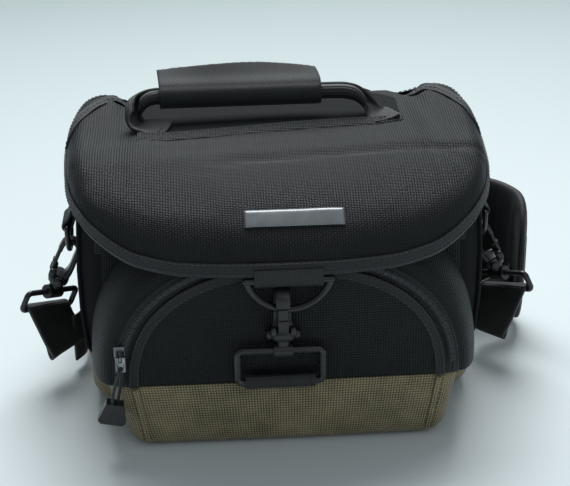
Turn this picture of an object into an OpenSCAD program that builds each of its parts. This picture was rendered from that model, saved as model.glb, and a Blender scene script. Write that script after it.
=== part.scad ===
// Padded camera shoulder bag: hooded lid, zipped front pocket, ring and snap hook latch,
// carry handle with a wrap, and a shoulder strap clipped to two side rings.
// Millimetres. X to the bag's left-right, -Y is the front, +Z is up.
// Origin: centre of the main body's base, on the floor.

/* [Body] */
// Width of the padded body
body_w = 262; // [256:1:266]
// Depth of the padded body, front to back
body_d = 130; // [124:1:134]
// Height of the padded body under the lid
body_h = 166; // [160:1:168]
// Thickness of the padded walls
wall = 8; // [6:0.5:9]
// Radius of the body's upright corners
corner_r = 20; // [16:1:24]
// Height of the coloured base band
band_h = 40; // [36:1:44]
// Thickness of a padded divider
divider_t = 6; // [5:0.5:8]

/* [Front pocket] */
// Half width of the pocket at its seam with the base
pocket_half_w = 112; // [108:1:114]
// Height of the zipped arch above that seam
arch_h = 92; // [88:1:93]
// Height of the pocket's coloured base
pocket_base_h = 46; // [44:1:47]
// How far the pocket's face stands in front of the body's centre
pocket_y = 113; // [111:0.5:113]

/* [Lid] */
// Height of the lid's top
lid_top = 180; // [180:1:184]
// Width of the lid
lid_w = 277; // [277:1:282]
// How far the front flap reaches forward of the body's centre
flap_y = 124; // [124:1:126]
// Height of the front flap's lower edge
flap_z = 127; // [126:0.5:128]
// Height of the side skirts' lower edge
skirt_z = 158; // [156:1:159]

/* [Hardware] */
// Width of the front latch ring
latch_ring_w = 57.5; // [56:0.5:60]
// Drop of the front latch ring from its bar to its lowest point
latch_ring_drop = 20.2; // [19.6:0.2:20.8]
// Width of the webbing loop under the snap hook
latch_loop_w = 59; // [57:0.5:60]
// Distance of the side rings from the bag's centre
side_ring_x = 143; // [142:0.5:145]
// Sideways lean of the shoulder strap's hooks, in degrees
hook_lean = 24; // [18:1:26]

/* [Handle and strap] */
// Length of the handle's wrapped grip
grip_len = 109; // [100:1:112]
// How far the handle sits to one side of the lid's centre
handle_x = -22; // [-26:1:-18]
// Height of the shoulder pad
pad_h = 96; // [80:1:100]
// Thickness of the shoulder pad
pad_t = 12; // [9:0.5:13]
// Width of the shoulder strap's webbing
strap_w = 38; // [36:0.5:40]

/* [Hidden] */
$fn = 48;

gap = 0.2;                          // air between neighbouring pieces
fit = 0.08;                         // radial clearance of a turning pin
web_t = 1.7;                        // thickness of a sewn webbing layer

black = "#1d1f21";
weave = "#26292c";
trim = "#2e3236";
tan_cloth = "#5f5234";
lining = "#3b3e40";
metal = "#3a3d40";
plastic = "#15171a";

front = -body_d / 2;                // front face of the body
back = body_d / 2;                  // back face of the body
side = body_w / 2;

band_t = 2;                         // base band's cloth and backing
board_t = 2;
lining_t = 1.5;
floor_z = band_t + gap;             // underside of the padded floor
floor_t = 6;

panel_t = 7;                        // padded pocket panel
tape_t = 2.6;                       // zip tape with its coil
tape_w = 5;                         // half of the zip, coil included
tape_y = 0.8;                       // how far the tape lies behind the pocket's face
arch_n = 2.3;                       // squareness of the arch

lid_side_t = 5.5;                   // lid's side and flap padding
lid_top_t = 9;
lid_plan_y = -30;                   // where the lid's plan starts to round off
lid_plan_n = 2.7;
lid_drop_y = -50;                   // where the top starts to fall to the flap
lid_drop_z = flap_z - 9;

latch_x = -3;                       // sideways place of the snap hook
latch_ring_x = 1;
latch_y = -flap_y + 3;              // the latch hangs in this plane
latch_bar_z = flap_z - 4.4;         // ring's straight bar
latch_rod = 2.4;                    // radius of the ring and loop rods
latch_loop_z = 50.4;                // loop's lower bar
latch_loop_h = 23.2;                // between the loop's two bars
tab_r = latch_rod + web_t;          // webbing folded round a latch bar
ring_tab_w = 44;
loop_tab_w = 46;

crook_z = 110;                      // centre of the front hook's crook
crook_r = 7.4;                      // crook's outer radius
crook_in = 4.2;                     // crook's inner radius
hook_drop = 28;                     // from the crook's centre to the hook's foot
sleeve_drop = 36.4;                 // and to the swivel's sleeve
gate_drop = 20;                     // from the crook's centre to the gate's pin
hook_t = 10;
foot_t = 16;
gate_t = 7.6;
gate_pin_r = 1.3;
stem_r = 2.5;

side_ring_y = -8;
side_ring_z = 118;
side_rod = 1.75;
side_ring_w = 29;                   // between the side ring's corners
side_ring_drop = 20;
loop_rod = 2;
hook_seat = 0.4;                    // the ring sits this far above the crook's centre
strap_loop_h = 14;
loop_turn = 45;                     // the side loops are turned this far about their hooks

strap_z = 4;                        // lower edge of the strap's webbing
strap_t = 3;
back_y = 84;                        // the strap and pad run behind the bag here
pad_z = 3;

// ---------- shared shapes ----------

// Rounded rectangle, centred
module rounded_plan(w, d, r) {
  square([w - 2 * r, d], center = true);
  square([w, d - 2 * r], center = true);
  for (sx = [-1, 1], sy = [-1, 1]) translate([sx * (w / 2 - r), sy * (d / 2 - r)]) circle(r);
}

// Profile in X and Z, pushed forward from y_back by t
module front_slab(y_back, t) {
  translate([0, y_back, 0]) rotate([90, 0, 0]) linear_extrude(t) children();
}

// Profile in Y and Z, pushed along X from x_from by t
module side_slab(x_from, t) {
  translate([x_from, 0, 0]) rotate([90, 0, 90]) linear_extrude(t) children();
}

// Points of a superellipse's arc
function super_arc(a, b, n, from, to, steps) = [
  for (i = [0 : steps]) let (t = from + (to - from) * i / steps, c = cos(t), s = sin(t))
    [a * sign(c) * pow(abs(c), 2 / n), b * sign(s) * pow(abs(s), 2 / n)]
];

// Points on a circle's arc
function arc(cx, cy, r, from, to, steps) = [
  for (i = [0 : steps]) let (t = from + (to - from) * i / steps) [cx + r * cos(t), cy + r * sin(t)]
];

// The pocket's arch, pulled in by inset, standing on the base's seam
module arch(inset) {
  translate([0, pocket_base_h + gap])
    polygon(super_arc(pocket_half_w - inset, arch_h - inset, arch_n, 0, 180, 36));
}

// Band between two insets of the arch
module arch_band(outer, inner) {
  difference() {
    arch(outer);
    arch(inner);
  }
}

// Direction square to a path at its point i
function across(points, i) =
  let (step = points[min(i + 1, len(points) - 1)] - points[max(i - 1, 0)]) [-step[1], step[0]] / norm(step);

// Ribbon of width t along a list of plan points
module ribbon(points, t) {
  last = len(points) - 1;
  polygon(concat(
    [for (i = [0 : last]) points[i] + across(points, i) * t / 2],
    [for (i = [last : -1 : 0]) points[i] - across(points, i) * t / 2]
  ));
}

// Straight rods along X and along Y, centred
module rod_x(r, len) { rotate([0, 90, 0]) cylinder(r = r, h = len, center = true); }
module rod_y(r, len) { rotate([90, 0, 0]) cylinder(r = r, h = len, center = true); }

// D-ring in the XZ plane, its straight bar along X through the origin
module d_ring(half_w, drop, rod_r) {
  arc_r = (half_w * half_w + drop * drop) / (2 * drop);
  half_a = atan2(half_w, arc_r - drop);
  rod_x(rod_r, 2 * half_w);
  for (s = [-1, 1]) translate([s * half_w, 0, 0]) sphere(rod_r * 1.12);
  translate([0, 0, arc_r - drop]) rotate([90, 0, 0]) rotate([0, 0, -90 - half_a])
    rotate_extrude(angle = 2 * half_a) translate([arc_r, 0]) circle(rod_r);
}

// Rectangular wire loop in the XZ plane, its lower bar along X through the origin
module wire_loop(w, h, bend, rod_r) {
  half = w / 2 - rod_r;
  for (z = [0, h]) translate([0, 0, z]) rod_x(rod_r, 2 * (half - bend));
  for (s = [-1, 1]) translate([s * half, 0, h / 2]) cylinder(r = rod_r, h = h - 2 * bend, center = true);
  for (sx = [-1, 1], sz = [-1, 1])
    translate([sx * (half - bend), 0, h / 2 + sz * (h / 2 - bend)]) rotate([90, 0, 0])
      rotate([0, 0, sx > 0 ? (sz > 0 ? 0 : -90) : (sz > 0 ? 90 : 180)])
        rotate_extrude(angle = 90) translate([bend, 0]) circle(rod_r);
}

// Snap hook in the YZ plane, crook's centre at the origin, open side towards -Y
module snap_hook() {
  nose_drop = 3.8;
  side_slab(-hook_t / 2, hook_t) {
    difference() {
      circle(crook_r);
      circle(crook_in);
      translate([-crook_r - 1, -crook_r - 1]) square([2 * crook_r + 2, crook_r + 1]);
    }
    translate([crook_in, -hook_drop + 4]) square([crook_r - crook_in, hook_drop - 4]);
    translate([-crook_r, -nose_drop]) square([crook_r - crook_in, nose_drop]);
  }
  difference() {
    union() {
      translate([-foot_t / 2, -crook_r, -hook_drop]) cube([foot_t, 2 * crook_r, 6]);
      for (s = [-1, 1]) translate([s * (foot_t / 2 + 1), 0, -hook_drop + 3]) rod_x(2.8, 4);
      for (s = [-1, 1]) translate([s * (foot_t / 2 - 1.75) - 1.75, -crook_r, -hook_drop + 5])
        cube([3.5, 5.4, gate_drop - 14]);
    }
    translate([0, 0, -hook_drop - 1]) cylinder(r = stem_r + fit, h = 8);
    translate([0, -crook_r + 2, -gate_drop]) rod_x(gate_pin_r + fit, foot_t + 2);
  }
}

// The hook's gate with its pin, in the hook's own place
module hook_gate() {
  translate([0, -crook_r + 2, -gate_drop]) rod_x(gate_pin_r, foot_t - 0.6);
  side_slab(-gate_t / 2, gate_t) {
    translate([-crook_r + 2, -gate_drop]) circle(1.9);
    translate([-crook_r + 0.2, -gate_drop]) square([crook_r - crook_in - 0.4, gate_drop - 4.2]);
  }
}

// Swivel under a hook: a stem in the hook's foot and a sleeve round a loop's bar
module swivel(rod_r) {
  neck_z = -hook_drop - 4.4;
  difference() {
    union() {
      translate([0, 0, -sleeve_drop]) rod_x(5, 12);
      translate([0, 0, neck_z]) cylinder(r = 4.2, h = 4.2);
    }
    translate([0, 0, -sleeve_drop]) rod_x(rod_r + fit, 14);
  }
  translate([0, 0, neck_z + 1]) cylinder(r = stem_r, h = 9);
}

// Places children at the front latch's crook
module at_latch() { translate([latch_x, latch_y, crook_z]) children(); }

// Places children at a strap hook's crook; s is -1 for the left side, 1 for the right
module at_strap_hook(s) {
  translate([s * side_ring_x, side_ring_y, side_ring_z - side_ring_drop]) rotate([0, -s * hook_lean, 0])
    rotate([0, 0, s * 90]) translate([0, 0, -hook_seat]) children();
}

// The same place turned about the hook's stem, as the loop below it hangs
module at_strap_swivel(s) { at_strap_hook(s) rotate([0, 0, s * loop_turn]) children(); }

// ---------- main body ----------

module base_band() {
  color(tan_cloth) difference() {
    linear_extrude(band_h) rounded_plan(body_w, body_d, corner_r);
    translate([0, 0, band_t]) linear_extrude(band_h)
      rounded_plan(body_w - 2 * band_t, body_d - 2 * band_t, corner_r - band_t);
  }
}

module body_shell() {
  inset = band_t + gap;
  color(weave) difference() {
    union() {
      translate([0, 0, floor_z]) linear_extrude(band_h)
        rounded_plan(body_w - 2 * inset, body_d - 2 * inset, corner_r - inset);
      translate([0, 0, band_h + gap]) linear_extrude(body_h - band_h - gap)
        rounded_plan(body_w, body_d, corner_r);
    }
    translate([0, 0, floor_z + floor_t]) linear_extrude(body_h)
      rounded_plan(body_w - 2 * wall, body_d - 2 * wall, corner_r - wall);
  }
}

module body_lining() {
  w = body_w - 2 * wall - 2 * gap;
  d = body_d - 2 * wall - 2 * gap;
  r = corner_r - wall - gap;
  color(lining) translate([0, 0, floor_z + floor_t + gap]) difference() {
    linear_extrude(body_h - floor_z - 8) rounded_plan(w, d, r);
    translate([0, 0, lining_t]) linear_extrude(body_h)
      rounded_plan(w - 2 * lining_t, d - 2 * lining_t, r - lining_t);
  }
}

module base_board() {
  inset = wall + lining_t + 1;
  color("#444744") translate([0, 0, floor_z + floor_t + lining_t + 2 * gap]) linear_extrude(board_t)
    rounded_plan(body_w - 2 * inset, body_d - 2 * inset, corner_r - inset);
}

module divider(x) {
  bottom = floor_z + floor_t + lining_t + board_t + 4 * gap;
  depth = body_d - 2 * (wall + lining_t + 1);
  color("#4a4d4f") translate([x - divider_t / 2, -depth / 2, bottom])
    cube([divider_t, depth, body_h - 16 - bottom]);
}
module divider_left() { divider(-45); }
module divider_right() { divider(45); }

module hinge_strip() {
  strip_w = 200;
  strip_z = 120;
  color(trim) translate([-strip_w / 2, back + gap, strip_z]) cube([strip_w, 1.4, lid_top - 4 - strip_z]);
}

// Webbing chape that carries a side ring; s is -1 for the left side, 1 for the right
module side_chape(s) {
  x = side_ring_x - side;
  color(trim) translate([s * side, side_ring_y, 0]) difference() {
    union() {
      translate([s * (gap + 1) - 1, -12, 112]) cube([2, 24, 40]);
      translate([s * x / 2 - x / 2 + s * gap, -12, side_ring_z - 1.5]) cube([x, 24, 3]);
      translate([s * x, 0, side_ring_z]) rod_y(3.6, 24);
    }
    translate([s * x, 0, side_ring_z]) rod_y(side_rod + fit, 27);
  }
}
module side_chape_left() { side_chape(-1); }
module side_chape_right() { side_chape(1); }

// ---------- front pocket ----------

module pocket_base() {
  foot = pocket_half_w - 8;
  inner = pocket_half_w - 3;
  depth = pocket_y + front - gap;
  color(tan_cloth) intersection() {
    difference() {
      front_slab(front - gap, depth)
        polygon([[-foot, 0], [foot, 0], [pocket_half_w, pocket_base_h], [-pocket_half_w, pocket_base_h]]);
      front_slab(front - gap - 3, depth - 6)
        polygon([[-foot + 3, 3], [foot - 3, 3], [inner, pocket_base_h + 1], [-inner, pocket_base_h + 1]]);
    }
    translate([0, front / 2 - pocket_y / 2 + 15, -1]) linear_extrude(pocket_base_h + 2)
      rounded_plan(2 * pocket_half_w, pocket_y + front + 30, 12);
  }
}

module pocket_gusset() {
  color(weave) front_slab(front - gap, pocket_y + front - gap - tape_y - tape_t) arch_band(0, 3);
}

module gusset_zip_tape() {
  color(trim) front_slab(-pocket_y + tape_y + tape_t - gap, tape_t) arch_band(0, tape_w - gap);
}

module panel_zip_tape() {
  color(trim) front_slab(-pocket_y + tape_y + tape_t - gap, tape_t) arch_band(tape_w, 2 * tape_w);
}

module panel_binding() {
  color(trim) front_slab(-pocket_y + tape_y - 2 * gap, 3) arch_band(2 * tape_w - 2, 2 * tape_w + 4);
}

module pocket_panel() {
  color(weave) front_slab(-pocket_y + panel_t, panel_t) arch(2 * tape_w + 4 + gap);
}

// ---------- zip slider and its cord pull ----------

slider_x = -pocket_half_w + tape_w + 0.8;
slider_z = 71;
slider_y = -pocket_y + tape_y - 2 * gap - 1.6;
pull_reach = 5.2;                   // the pull's pin stands this far in front of the slider
pull_y = slider_y - pull_reach;
pull_hole_z = -7.2;
cord_lean = 12;
cord_r = 1;
strand = 27;                        // length of the cord's strands
strand_y = 2.3;                     // the two strands pass either side of the pull

module zip_slider() {
  color(metal) translate([slider_x, slider_y, slider_z]) {
    difference() {
      translate([-4, -0.8, -6]) cube([6.8, 2.2, 12]);
      translate([-5, -2, -7]) cube([2, 4, 5]);
    }
    difference() {
      translate([-0.6, -pull_reach - 1.6, -1.7]) cube([1.2, pull_reach + 1, 3.4]);
      translate([0, -pull_reach, 0]) rod_x(1.05, 3);
    }
  }
}

module zip_pull() {
  color(metal) translate([slider_x, pull_y, slider_z]) {
    difference() {
      translate([-3.2, -1, -9.4]) cube([6.4, 2, 10.6]);
      translate([-1, -2, -2.4]) cube([2, 4, 4]);
      translate([0, 0, pull_hole_z]) rod_y(1.5, 4);
    }
    rod_x(0.75, 4);
  }
}

module pull_cord() {
  color(plastic) translate([slider_x, pull_y, slider_z + pull_hole_z]) {
    rod_y(cord_r, 2 * strand_y);
    for (s = [-1, 1]) translate([0, s * strand_y, 0]) {
      sphere(cord_r * 1.12);
      rotate([0, cord_lean, 0]) translate([0, 0, -strand]) cylinder(r = cord_r, h = strand);
    }
  }
}

module cord_end() {
  color(plastic) translate([slider_x, pull_y, slider_z + pull_hole_z]) rotate([0, cord_lean, 0])
    difference() {
      front_slab(3.6, 7.4) translate([0, -strand])
        polygon([[-5.5, 2], [5.5, 2], [9, -11], [7, -13], [-7, -13], [-9, -11]]);
      for (s = [-1, 1]) translate([0, s * strand_y, -strand - 1]) cylinder(r = cord_r + fit, h = 5);
    }
}

// ---------- lid ----------

// The lid's plan outline, pulled in by inset
module lid_plan(inset) {
  a = lid_w / 2 - inset;
  b = flap_y + lid_plan_y - inset;
  rear_r = 26 - inset;
  points = concat(
    [for (p = super_arc(a, b, lid_plan_n, 180, 360, 36)) p + [0, lid_plan_y]],
    arc(a - rear_r, back - gap - inset - rear_r, rear_r, 0, 90, 8),
    arc(-a + rear_r, back - gap - inset - rear_r, rear_r, 90, 180, 8)
  );
  polygon(points);
}

// Side view of the space under the lid's outer surface, pulled in by t on top and by f in front
module lid_profile(t, f, low) {
  a = flap_y + lid_drop_y - f;
  b = lid_top - lid_drop_z - t;
  drop = [for (p = super_arc(a, b, 2, 180, 90, 12)) p + [lid_drop_y, lid_drop_z]];
  polygon(concat([[-flap_y + f, low]], drop, [[back, lid_top - t], [back, low]]));
}

// Side view of everything above the lid's lower edge
module lid_above_edge(rise) {
  polygon([
    [-flap_y - 2, flap_z + rise], [-flap_y + 14, flap_z + rise],
    [-92, skirt_z - 11 + rise], [-60, skirt_z - 3 + rise], [-30, skirt_z + rise],
    [back + 1, body_h + 1.8 + rise], [back + 1, lid_top + 9], [-flap_y - 2, lid_top + 9]
  ]);
}

module lid_shell() {
  color(weave) intersection() {
    difference() {
      intersection() {
        translate([0, 0, 110]) linear_extrude(80) lid_plan(0);
        side_slab(-lid_w / 2, lid_w) lid_profile(0, 0, 110);
      }
      intersection() {
        translate([0, 0, 109]) linear_extrude(82) lid_plan(lid_side_t);
        side_slab(-lid_w / 2, lid_w) lid_profile(lid_top_t, lid_side_t + 0.5, 109);
      }
    }
    side_slab(-lid_w / 2, lid_w) lid_above_edge(0);
  }
}

// Tape bound round the lid's lower edge
module lid_binding() {
  color(trim) intersection() {
    translate([0, 0, 110]) linear_extrude(80) difference() {
      lid_plan(-gap - 1.2);
      lid_plan(-gap);
    }
    difference() {
      side_slab(-lid_w, 2 * lid_w) lid_above_edge(0);
      side_slab(-lid_w - 1, 2 * lid_w + 2) lid_above_edge(7);
      translate([-lid_w, back - 32, 100]) cube([2 * lid_w, 40, 100]);
    }
  }
}

module lid_lining() {
  lid_lining_t = 2;
  color(lining) translate([0, -1, lid_top - lid_top_t - gap - lid_lining_t]) linear_extrude(lid_lining_t)
    rounded_plan(lid_w - 40, body_d - 28, 18);
}

module lid_badge() {
  color("#9a9d9f") translate([6, -107.1, 158.2]) rotate([45, 0, 0])
    translate([-31, -6, 0]) cube([62, 12, 1.2]);
}

module lid_ring_tab() {
  color(trim) translate([latch_ring_x, latch_y, latch_bar_z]) difference() {
    union() {
      rod_x(tab_r, ring_tab_w);
      translate([-ring_tab_w / 2, -1, 0]) cube([ring_tab_w, 2, 9.4]);
    }
    rod_x(latch_rod + fit, ring_tab_w + 2);
  }
}

module latch_ring() {
  color(metal) translate([latch_ring_x, latch_y, latch_bar_z])
    d_ring(latch_ring_w / 2 - latch_rod, latch_ring_drop, latch_rod);
}

// ---------- handle ----------

handle_y = 14;
handle_z = 184;                     // the handle tips about this line
handle_end = 78;                    // from the handle's centre to each anchor
grip_z = 198;
grip_r = 8.2;
handle_core = 6.4;                  // square core of folded webbing inside the grip

module handle_anchors() {
  color(trim) for (s = [-1, 1]) translate([handle_x + s * (handle_end + 9) - 8, -9, lid_top + gap])
    cube([16, 46, 3]);
}

module handle_webbing() {
  low = [handle_end - 1.5, handle_z + 1.4];
  high = [grip_len / 2 + 1, grip_z - 0.2];
  middle = (low + high) / 2;
  slope = atan2(high[1] - low[1], low[0] - high[0]);
  color(trim) translate([handle_x, handle_y, 0]) {
    for (s = [-1, 1]) translate([s * middle[0], 0, middle[1]]) rotate([0, s * slope, 0])
      cube([norm(high - low), 10, 2.4], center = true);
    translate([-grip_len / 2 - 3, -handle_core / 2, grip_z - handle_core / 2])
      cube([grip_len + 6, handle_core, handle_core]);
  }
}

module handle_grip() {
  color(weave) translate([handle_x, handle_y, grip_z]) difference() {
    rod_x(grip_r, grip_len);
    cube([grip_len + 2, handle_core + 2 * gap, handle_core + 2 * gap], center = true);
  }
}

// The wrap's free edge, standing up from the grip
module handle_wrap() {
  wrap_y = handle_y + grip_r + gap;
  color(weave) translate([handle_x, wrap_y, 0]) {
    front_slab(2.2, 2.2) polygon([
      [-grip_len / 2, grip_z - 4], [grip_len / 2, grip_z - 4], [grip_len / 2 - 2, grip_z + 18],
      [grip_len / 4, grip_z + 22], [-grip_len / 4, grip_z + 22], [-grip_len / 2 - 2, grip_z + 17]
    ]);
  }
}

// ---------- front latch ----------

module latch_tab() {
  reach = -latch_y - pocket_y - gap;
  color(trim) translate([latch_x - 2, latch_y, latch_loop_z]) difference() {
    union() {
      rod_x(tab_r, loop_tab_w);
      translate([-loop_tab_w / 2, 0, -1.5]) cube([loop_tab_w, reach, 3]);
      translate([-loop_tab_w / 2, reach - web_t, -3.2]) cube([loop_tab_w, web_t, 14]);
    }
    rod_x(latch_rod + fit, loop_tab_w + 2);
  }
}

module latch_loop() {
  color(metal) translate([latch_x - 2, latch_y, latch_loop_z])
    wire_loop(latch_loop_w, latch_loop_h, 3.5, latch_rod);
}

module latch_swivel() { color(plastic) at_latch() swivel(latch_rod); }
module latch_hook() { color(plastic) at_latch() snap_hook(); }
module latch_gate() { color(plastic) at_latch() hook_gate(); }

// ---------- side rings and shoulder strap ----------

module side_ring(s) {
  color(metal) translate([s * side_ring_x, side_ring_y, side_ring_z]) rotate([0, 0, 90])
    d_ring(side_ring_w / 2, side_ring_drop, side_rod);
}
module side_ring_left() { side_ring(-1); }
module side_ring_right() { side_ring(1); }

module strap_hook_left() { color(plastic) at_strap_hook(-1) snap_hook(); }
module strap_hook_right() { color(plastic) at_strap_hook(1) snap_hook(); }
module strap_gate_left() { color(plastic) at_strap_hook(-1) hook_gate(); }
module strap_gate_right() { color(plastic) at_strap_hook(1) hook_gate(); }
module strap_swivel_left() { color(plastic) at_strap_swivel(-1) swivel(loop_rod); }
module strap_swivel_right() { color(plastic) at_strap_swivel(1) swivel(loop_rod); }

module strap_loop(s) {
  color(metal) at_strap_swivel(s) translate([0, 0, -sleeve_drop - strap_loop_h])
    wire_loop(strap_w + 12, strap_loop_h, 3, loop_rod);
}
module strap_loop_left() { strap_loop(-1); }
module strap_loop_right() { strap_loop(1); }

// Lower bar of a side loop: its middle, its direction in plan and its tilt
loop_x = side_ring_x + (sleeve_drop + strap_loop_h + hook_seat) * sin(hook_lean);
loop_z = side_ring_z - side_ring_drop - (sleeve_drop + strap_loop_h + hook_seat) * cos(hook_lean);
bar_turn = atan2(cos(loop_turn), sin(loop_turn) * cos(hook_lean));
bar_tilt = asin(sin(loop_turn) * sin(hook_lean));
fold_off = 2.1;                     // the hanging webbing's middle stands off the bar's axis

// Webbing sewn round a side loop's lower bar and hanging from it
module loop_fold(s) {
  half = strap_w / 2 - 1.5;
  translate([s * loop_x, side_ring_y, 0]) rotate([0, 0, s < 0 ? bar_turn : 180 - bar_turn]) difference() {
    union() {
      translate([0, 0, loop_z]) rotate([0, bar_tilt, 0]) rod_x(loop_rod + 1.9, strap_w);
      front_slab(s * fold_off + strap_t / 2, strap_t) polygon([
        [-half, strap_z], [half, strap_z],
        [half, loop_z - half * tan(bar_tilt)], [-half, loop_z + half * tan(bar_tilt)]
      ]);
    }
    translate([0, 0, loop_z]) rotate([0, bar_tilt, 0]) rod_x(loop_rod + fit, strap_w + 2);
  }
}

// Standing ribbon of webbing along the plan points
module strap_run(points) {
  translate([0, 0, strap_z + 0.3]) linear_extrude(strap_w - 2) ribbon(points, strap_t);
}

// Where the ribbon leaves the hanging fold, in plan on the right side
fold_end = [
  loop_x - 13 * cos(bar_turn) - fold_off * sin(bar_turn),
  side_ring_y + 13 * sin(bar_turn) - fold_off * cos(bar_turn)
];

module strap_webbing_left() {
  path = concat([fold_end, [150, 14]], arc(120, back_y - 30, 30, 0, 90, 6), [[61, back_y]]);
  color(trim) {
    loop_fold(-1);
    strap_run([for (p = path) [-p[0], p[1]]]);
  }
}

module strap_webbing_right() {
  color(trim) {
    loop_fold(1);
    strap_run([fold_end, [160, 10], [172, 20], [175, 33]]);
  }
}

module strap_adjuster() {
  frame_z = strap_z - 2.5;
  color(plastic) difference() {
    translate([-110, back_y - 4.5, frame_z]) cube([20, 9, strap_w + 5]);
    translate([-112, back_y - strap_t / 2 - 0.4, strap_z - 0.4]) cube([24, strap_t + 0.8, strap_w + 0.8]);
    for (s = [-1, 1]) translate([-100 + s * 5.5 - 2.5, back_y - 6, strap_z + 2]) cube([5, 12, strap_w - 4]);
  }
}

module shoulder_pad() {
  path = concat([[-60, back_y]], arc(126, 34, 50, 90, 0, 10));
  color(black) translate([0, 0, pad_z]) linear_extrude(pad_h) ribbon(path, pad_t);
}

base_band();
body_shell();
base_board();
body_lining();
hinge_strip();
pocket_base();
pocket_gusset();
gusset_zip_tape();
side_chape_left();
side_chape_right();
divider_left();
divider_right();
pocket_panel();
panel_binding();
panel_zip_tape();
latch_tab();
latch_loop();
latch_swivel();
latch_hook();
latch_gate();
zip_slider();
zip_pull();
pull_cord();
cord_end();
lid_shell();
lid_binding();
lid_lining();
lid_badge();
lid_ring_tab();
handle_anchors();
latch_ring();
handle_webbing();
handle_grip();
handle_wrap();
side_ring_left();
side_ring_right();
strap_hook_left();
strap_hook_right();
strap_gate_left();
strap_gate_right();
strap_swivel_left();
strap_swivel_right();
strap_loop_left();
strap_loop_right();
strap_webbing_left();
strap_webbing_right();
strap_adjuster();
shoulder_pad();
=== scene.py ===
"""Camera bag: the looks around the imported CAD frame. Lengths are metres unless a name says mm."""

import math
import random
from contextlib import contextmanager

import bmesh
import bpy
import numpy as np
from mathutils import Matrix, Vector, noise
from mathutils.bvhtree import BVHTree


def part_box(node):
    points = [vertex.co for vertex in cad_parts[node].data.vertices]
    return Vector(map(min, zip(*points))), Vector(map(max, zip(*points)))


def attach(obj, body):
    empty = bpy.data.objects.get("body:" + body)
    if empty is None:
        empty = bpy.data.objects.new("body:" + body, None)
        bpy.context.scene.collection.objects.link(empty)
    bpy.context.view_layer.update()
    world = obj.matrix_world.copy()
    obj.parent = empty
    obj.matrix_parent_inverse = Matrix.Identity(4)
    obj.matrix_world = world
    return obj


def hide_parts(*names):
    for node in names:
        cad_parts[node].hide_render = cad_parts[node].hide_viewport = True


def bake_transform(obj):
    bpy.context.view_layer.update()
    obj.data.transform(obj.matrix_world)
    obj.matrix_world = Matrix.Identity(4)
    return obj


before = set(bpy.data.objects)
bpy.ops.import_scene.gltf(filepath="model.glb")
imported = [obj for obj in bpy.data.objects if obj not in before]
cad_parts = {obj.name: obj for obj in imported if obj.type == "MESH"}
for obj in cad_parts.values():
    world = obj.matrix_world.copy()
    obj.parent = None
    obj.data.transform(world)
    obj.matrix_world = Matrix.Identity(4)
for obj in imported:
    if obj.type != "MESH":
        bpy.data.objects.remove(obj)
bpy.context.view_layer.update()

MM = 0.001
SIDES = ((-1, "left"), (1, "right"))
rng = random.Random(7)

# ---------------------------------------------------------------- sizes taken from the CAD frame

BODY_LO, BODY_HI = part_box("body_shell")
BASE_LO, BASE_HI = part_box("pocket_base")
ARCH_LO, ARCH_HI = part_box("pocket_gusset")
LID_LO, LID_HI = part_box("lid_shell")
GRIP_LO, GRIP_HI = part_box("handle_grip")
PAD_LO, PAD_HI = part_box("shoulder_pad")
RING_LO, RING_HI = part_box("latch_ring")
HOOK_LO, HOOK_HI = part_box("latch_hook")

TAN_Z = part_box("base_band")[1].z          # top of the tan base
FACE_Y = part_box("pocket_panel")[0].y      # the pocket's front face
SEAM_Z = ARCH_LO.z                        # seam between the tan base and the arch
ARCH_A = ARCH_HI.x                        # arch's half width
ARCH_B = ARCH_HI.z - ARCH_LO.z            # arch's height
ARCH_N = 2.3                              # arch's squareness
CORNER_R = 20 * MM                        # the body's upright corners
BODY_TURN = 15 * MM                       # the body's bottom edge
LID_A = LID_HI.x
LID_TOP = LID_HI.z
LID_CY = -30 * MM                         # where the lid's round front begins
LID_N = 2.7
REAR_R = 26 * MM
BAR_Y = (RING_LO.y + RING_HI.y) / 2       # the plane the front latch hangs in
WIRE_R = 1.75 * MM                        # the side rings' wire
HOOK_LEAN = 24                            # degrees that the strap's hooks lean outwards

# ---------------------------------------------------------------- mesh helpers


def arc_lengths(points):
    """Running length along a row of points."""
    return np.concatenate([[0.0], np.cumsum(np.linalg.norm(np.diff(points, axis=0), axis=1))])


def along(points, run, wanted):
    """The point or points at the wanted running lengths."""
    return np.stack([np.interp(wanted, run, points[:, k]) for k in range(3)], axis=-1)


def per_point(normals, count):
    """One normal for each point, from one for all of them if need be."""
    normals = np.asarray(normals, float)
    return np.tile(normals, (count, 1)) if normals.ndim == 1 else normals


def link_object(name, mesh):
    obj = bpy.data.objects.new(name, mesh)
    bpy.context.scene.collection.objects.link(obj)
    return obj


def build(name, verts, faces, uvs=None):
    """A linked mesh object; uvs is one pair per face corner."""
    mesh = bpy.data.meshes.new(name)
    mesh.from_pydata([tuple(v) for v in verts], [], faces)
    if uvs is not None:
        layer = mesh.uv_layers.new(name="UVMap")
        layer.data.foreach_set("uv", np.asarray(uvs, np.float32).ravel())
    mesh.polygons.foreach_set("use_smooth", [True] * len(mesh.polygons))
    mesh.update()
    return link_object(name, mesh)


def grid(name, rows, close_u=False):
    """A sheet through rows[i][j]; u runs along j and v along i, both in metres of arc length."""
    rows = np.asarray(rows, float)
    m, n = rows.shape[:2]
    middle = rows[m // 2]
    u = arc_lengths(np.vstack([middle, middle[:1]]) if close_u else middle)
    v = arc_lengths(rows[:, n // 2])
    faces, uvs = [], []
    for i in range(m - 1):
        for j in range(n if close_u else n - 1):
            a, b = i * n + j, i * n + (j + 1) % n
            faces.append([a, b, b + n, a + n])
            uvs += [(u[j], v[i]), (u[j + 1], v[i]), (u[j + 1], v[i + 1]), (u[j], v[i + 1])]
    return build(name, rows.reshape(-1, 3), faces, uvs)


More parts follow.
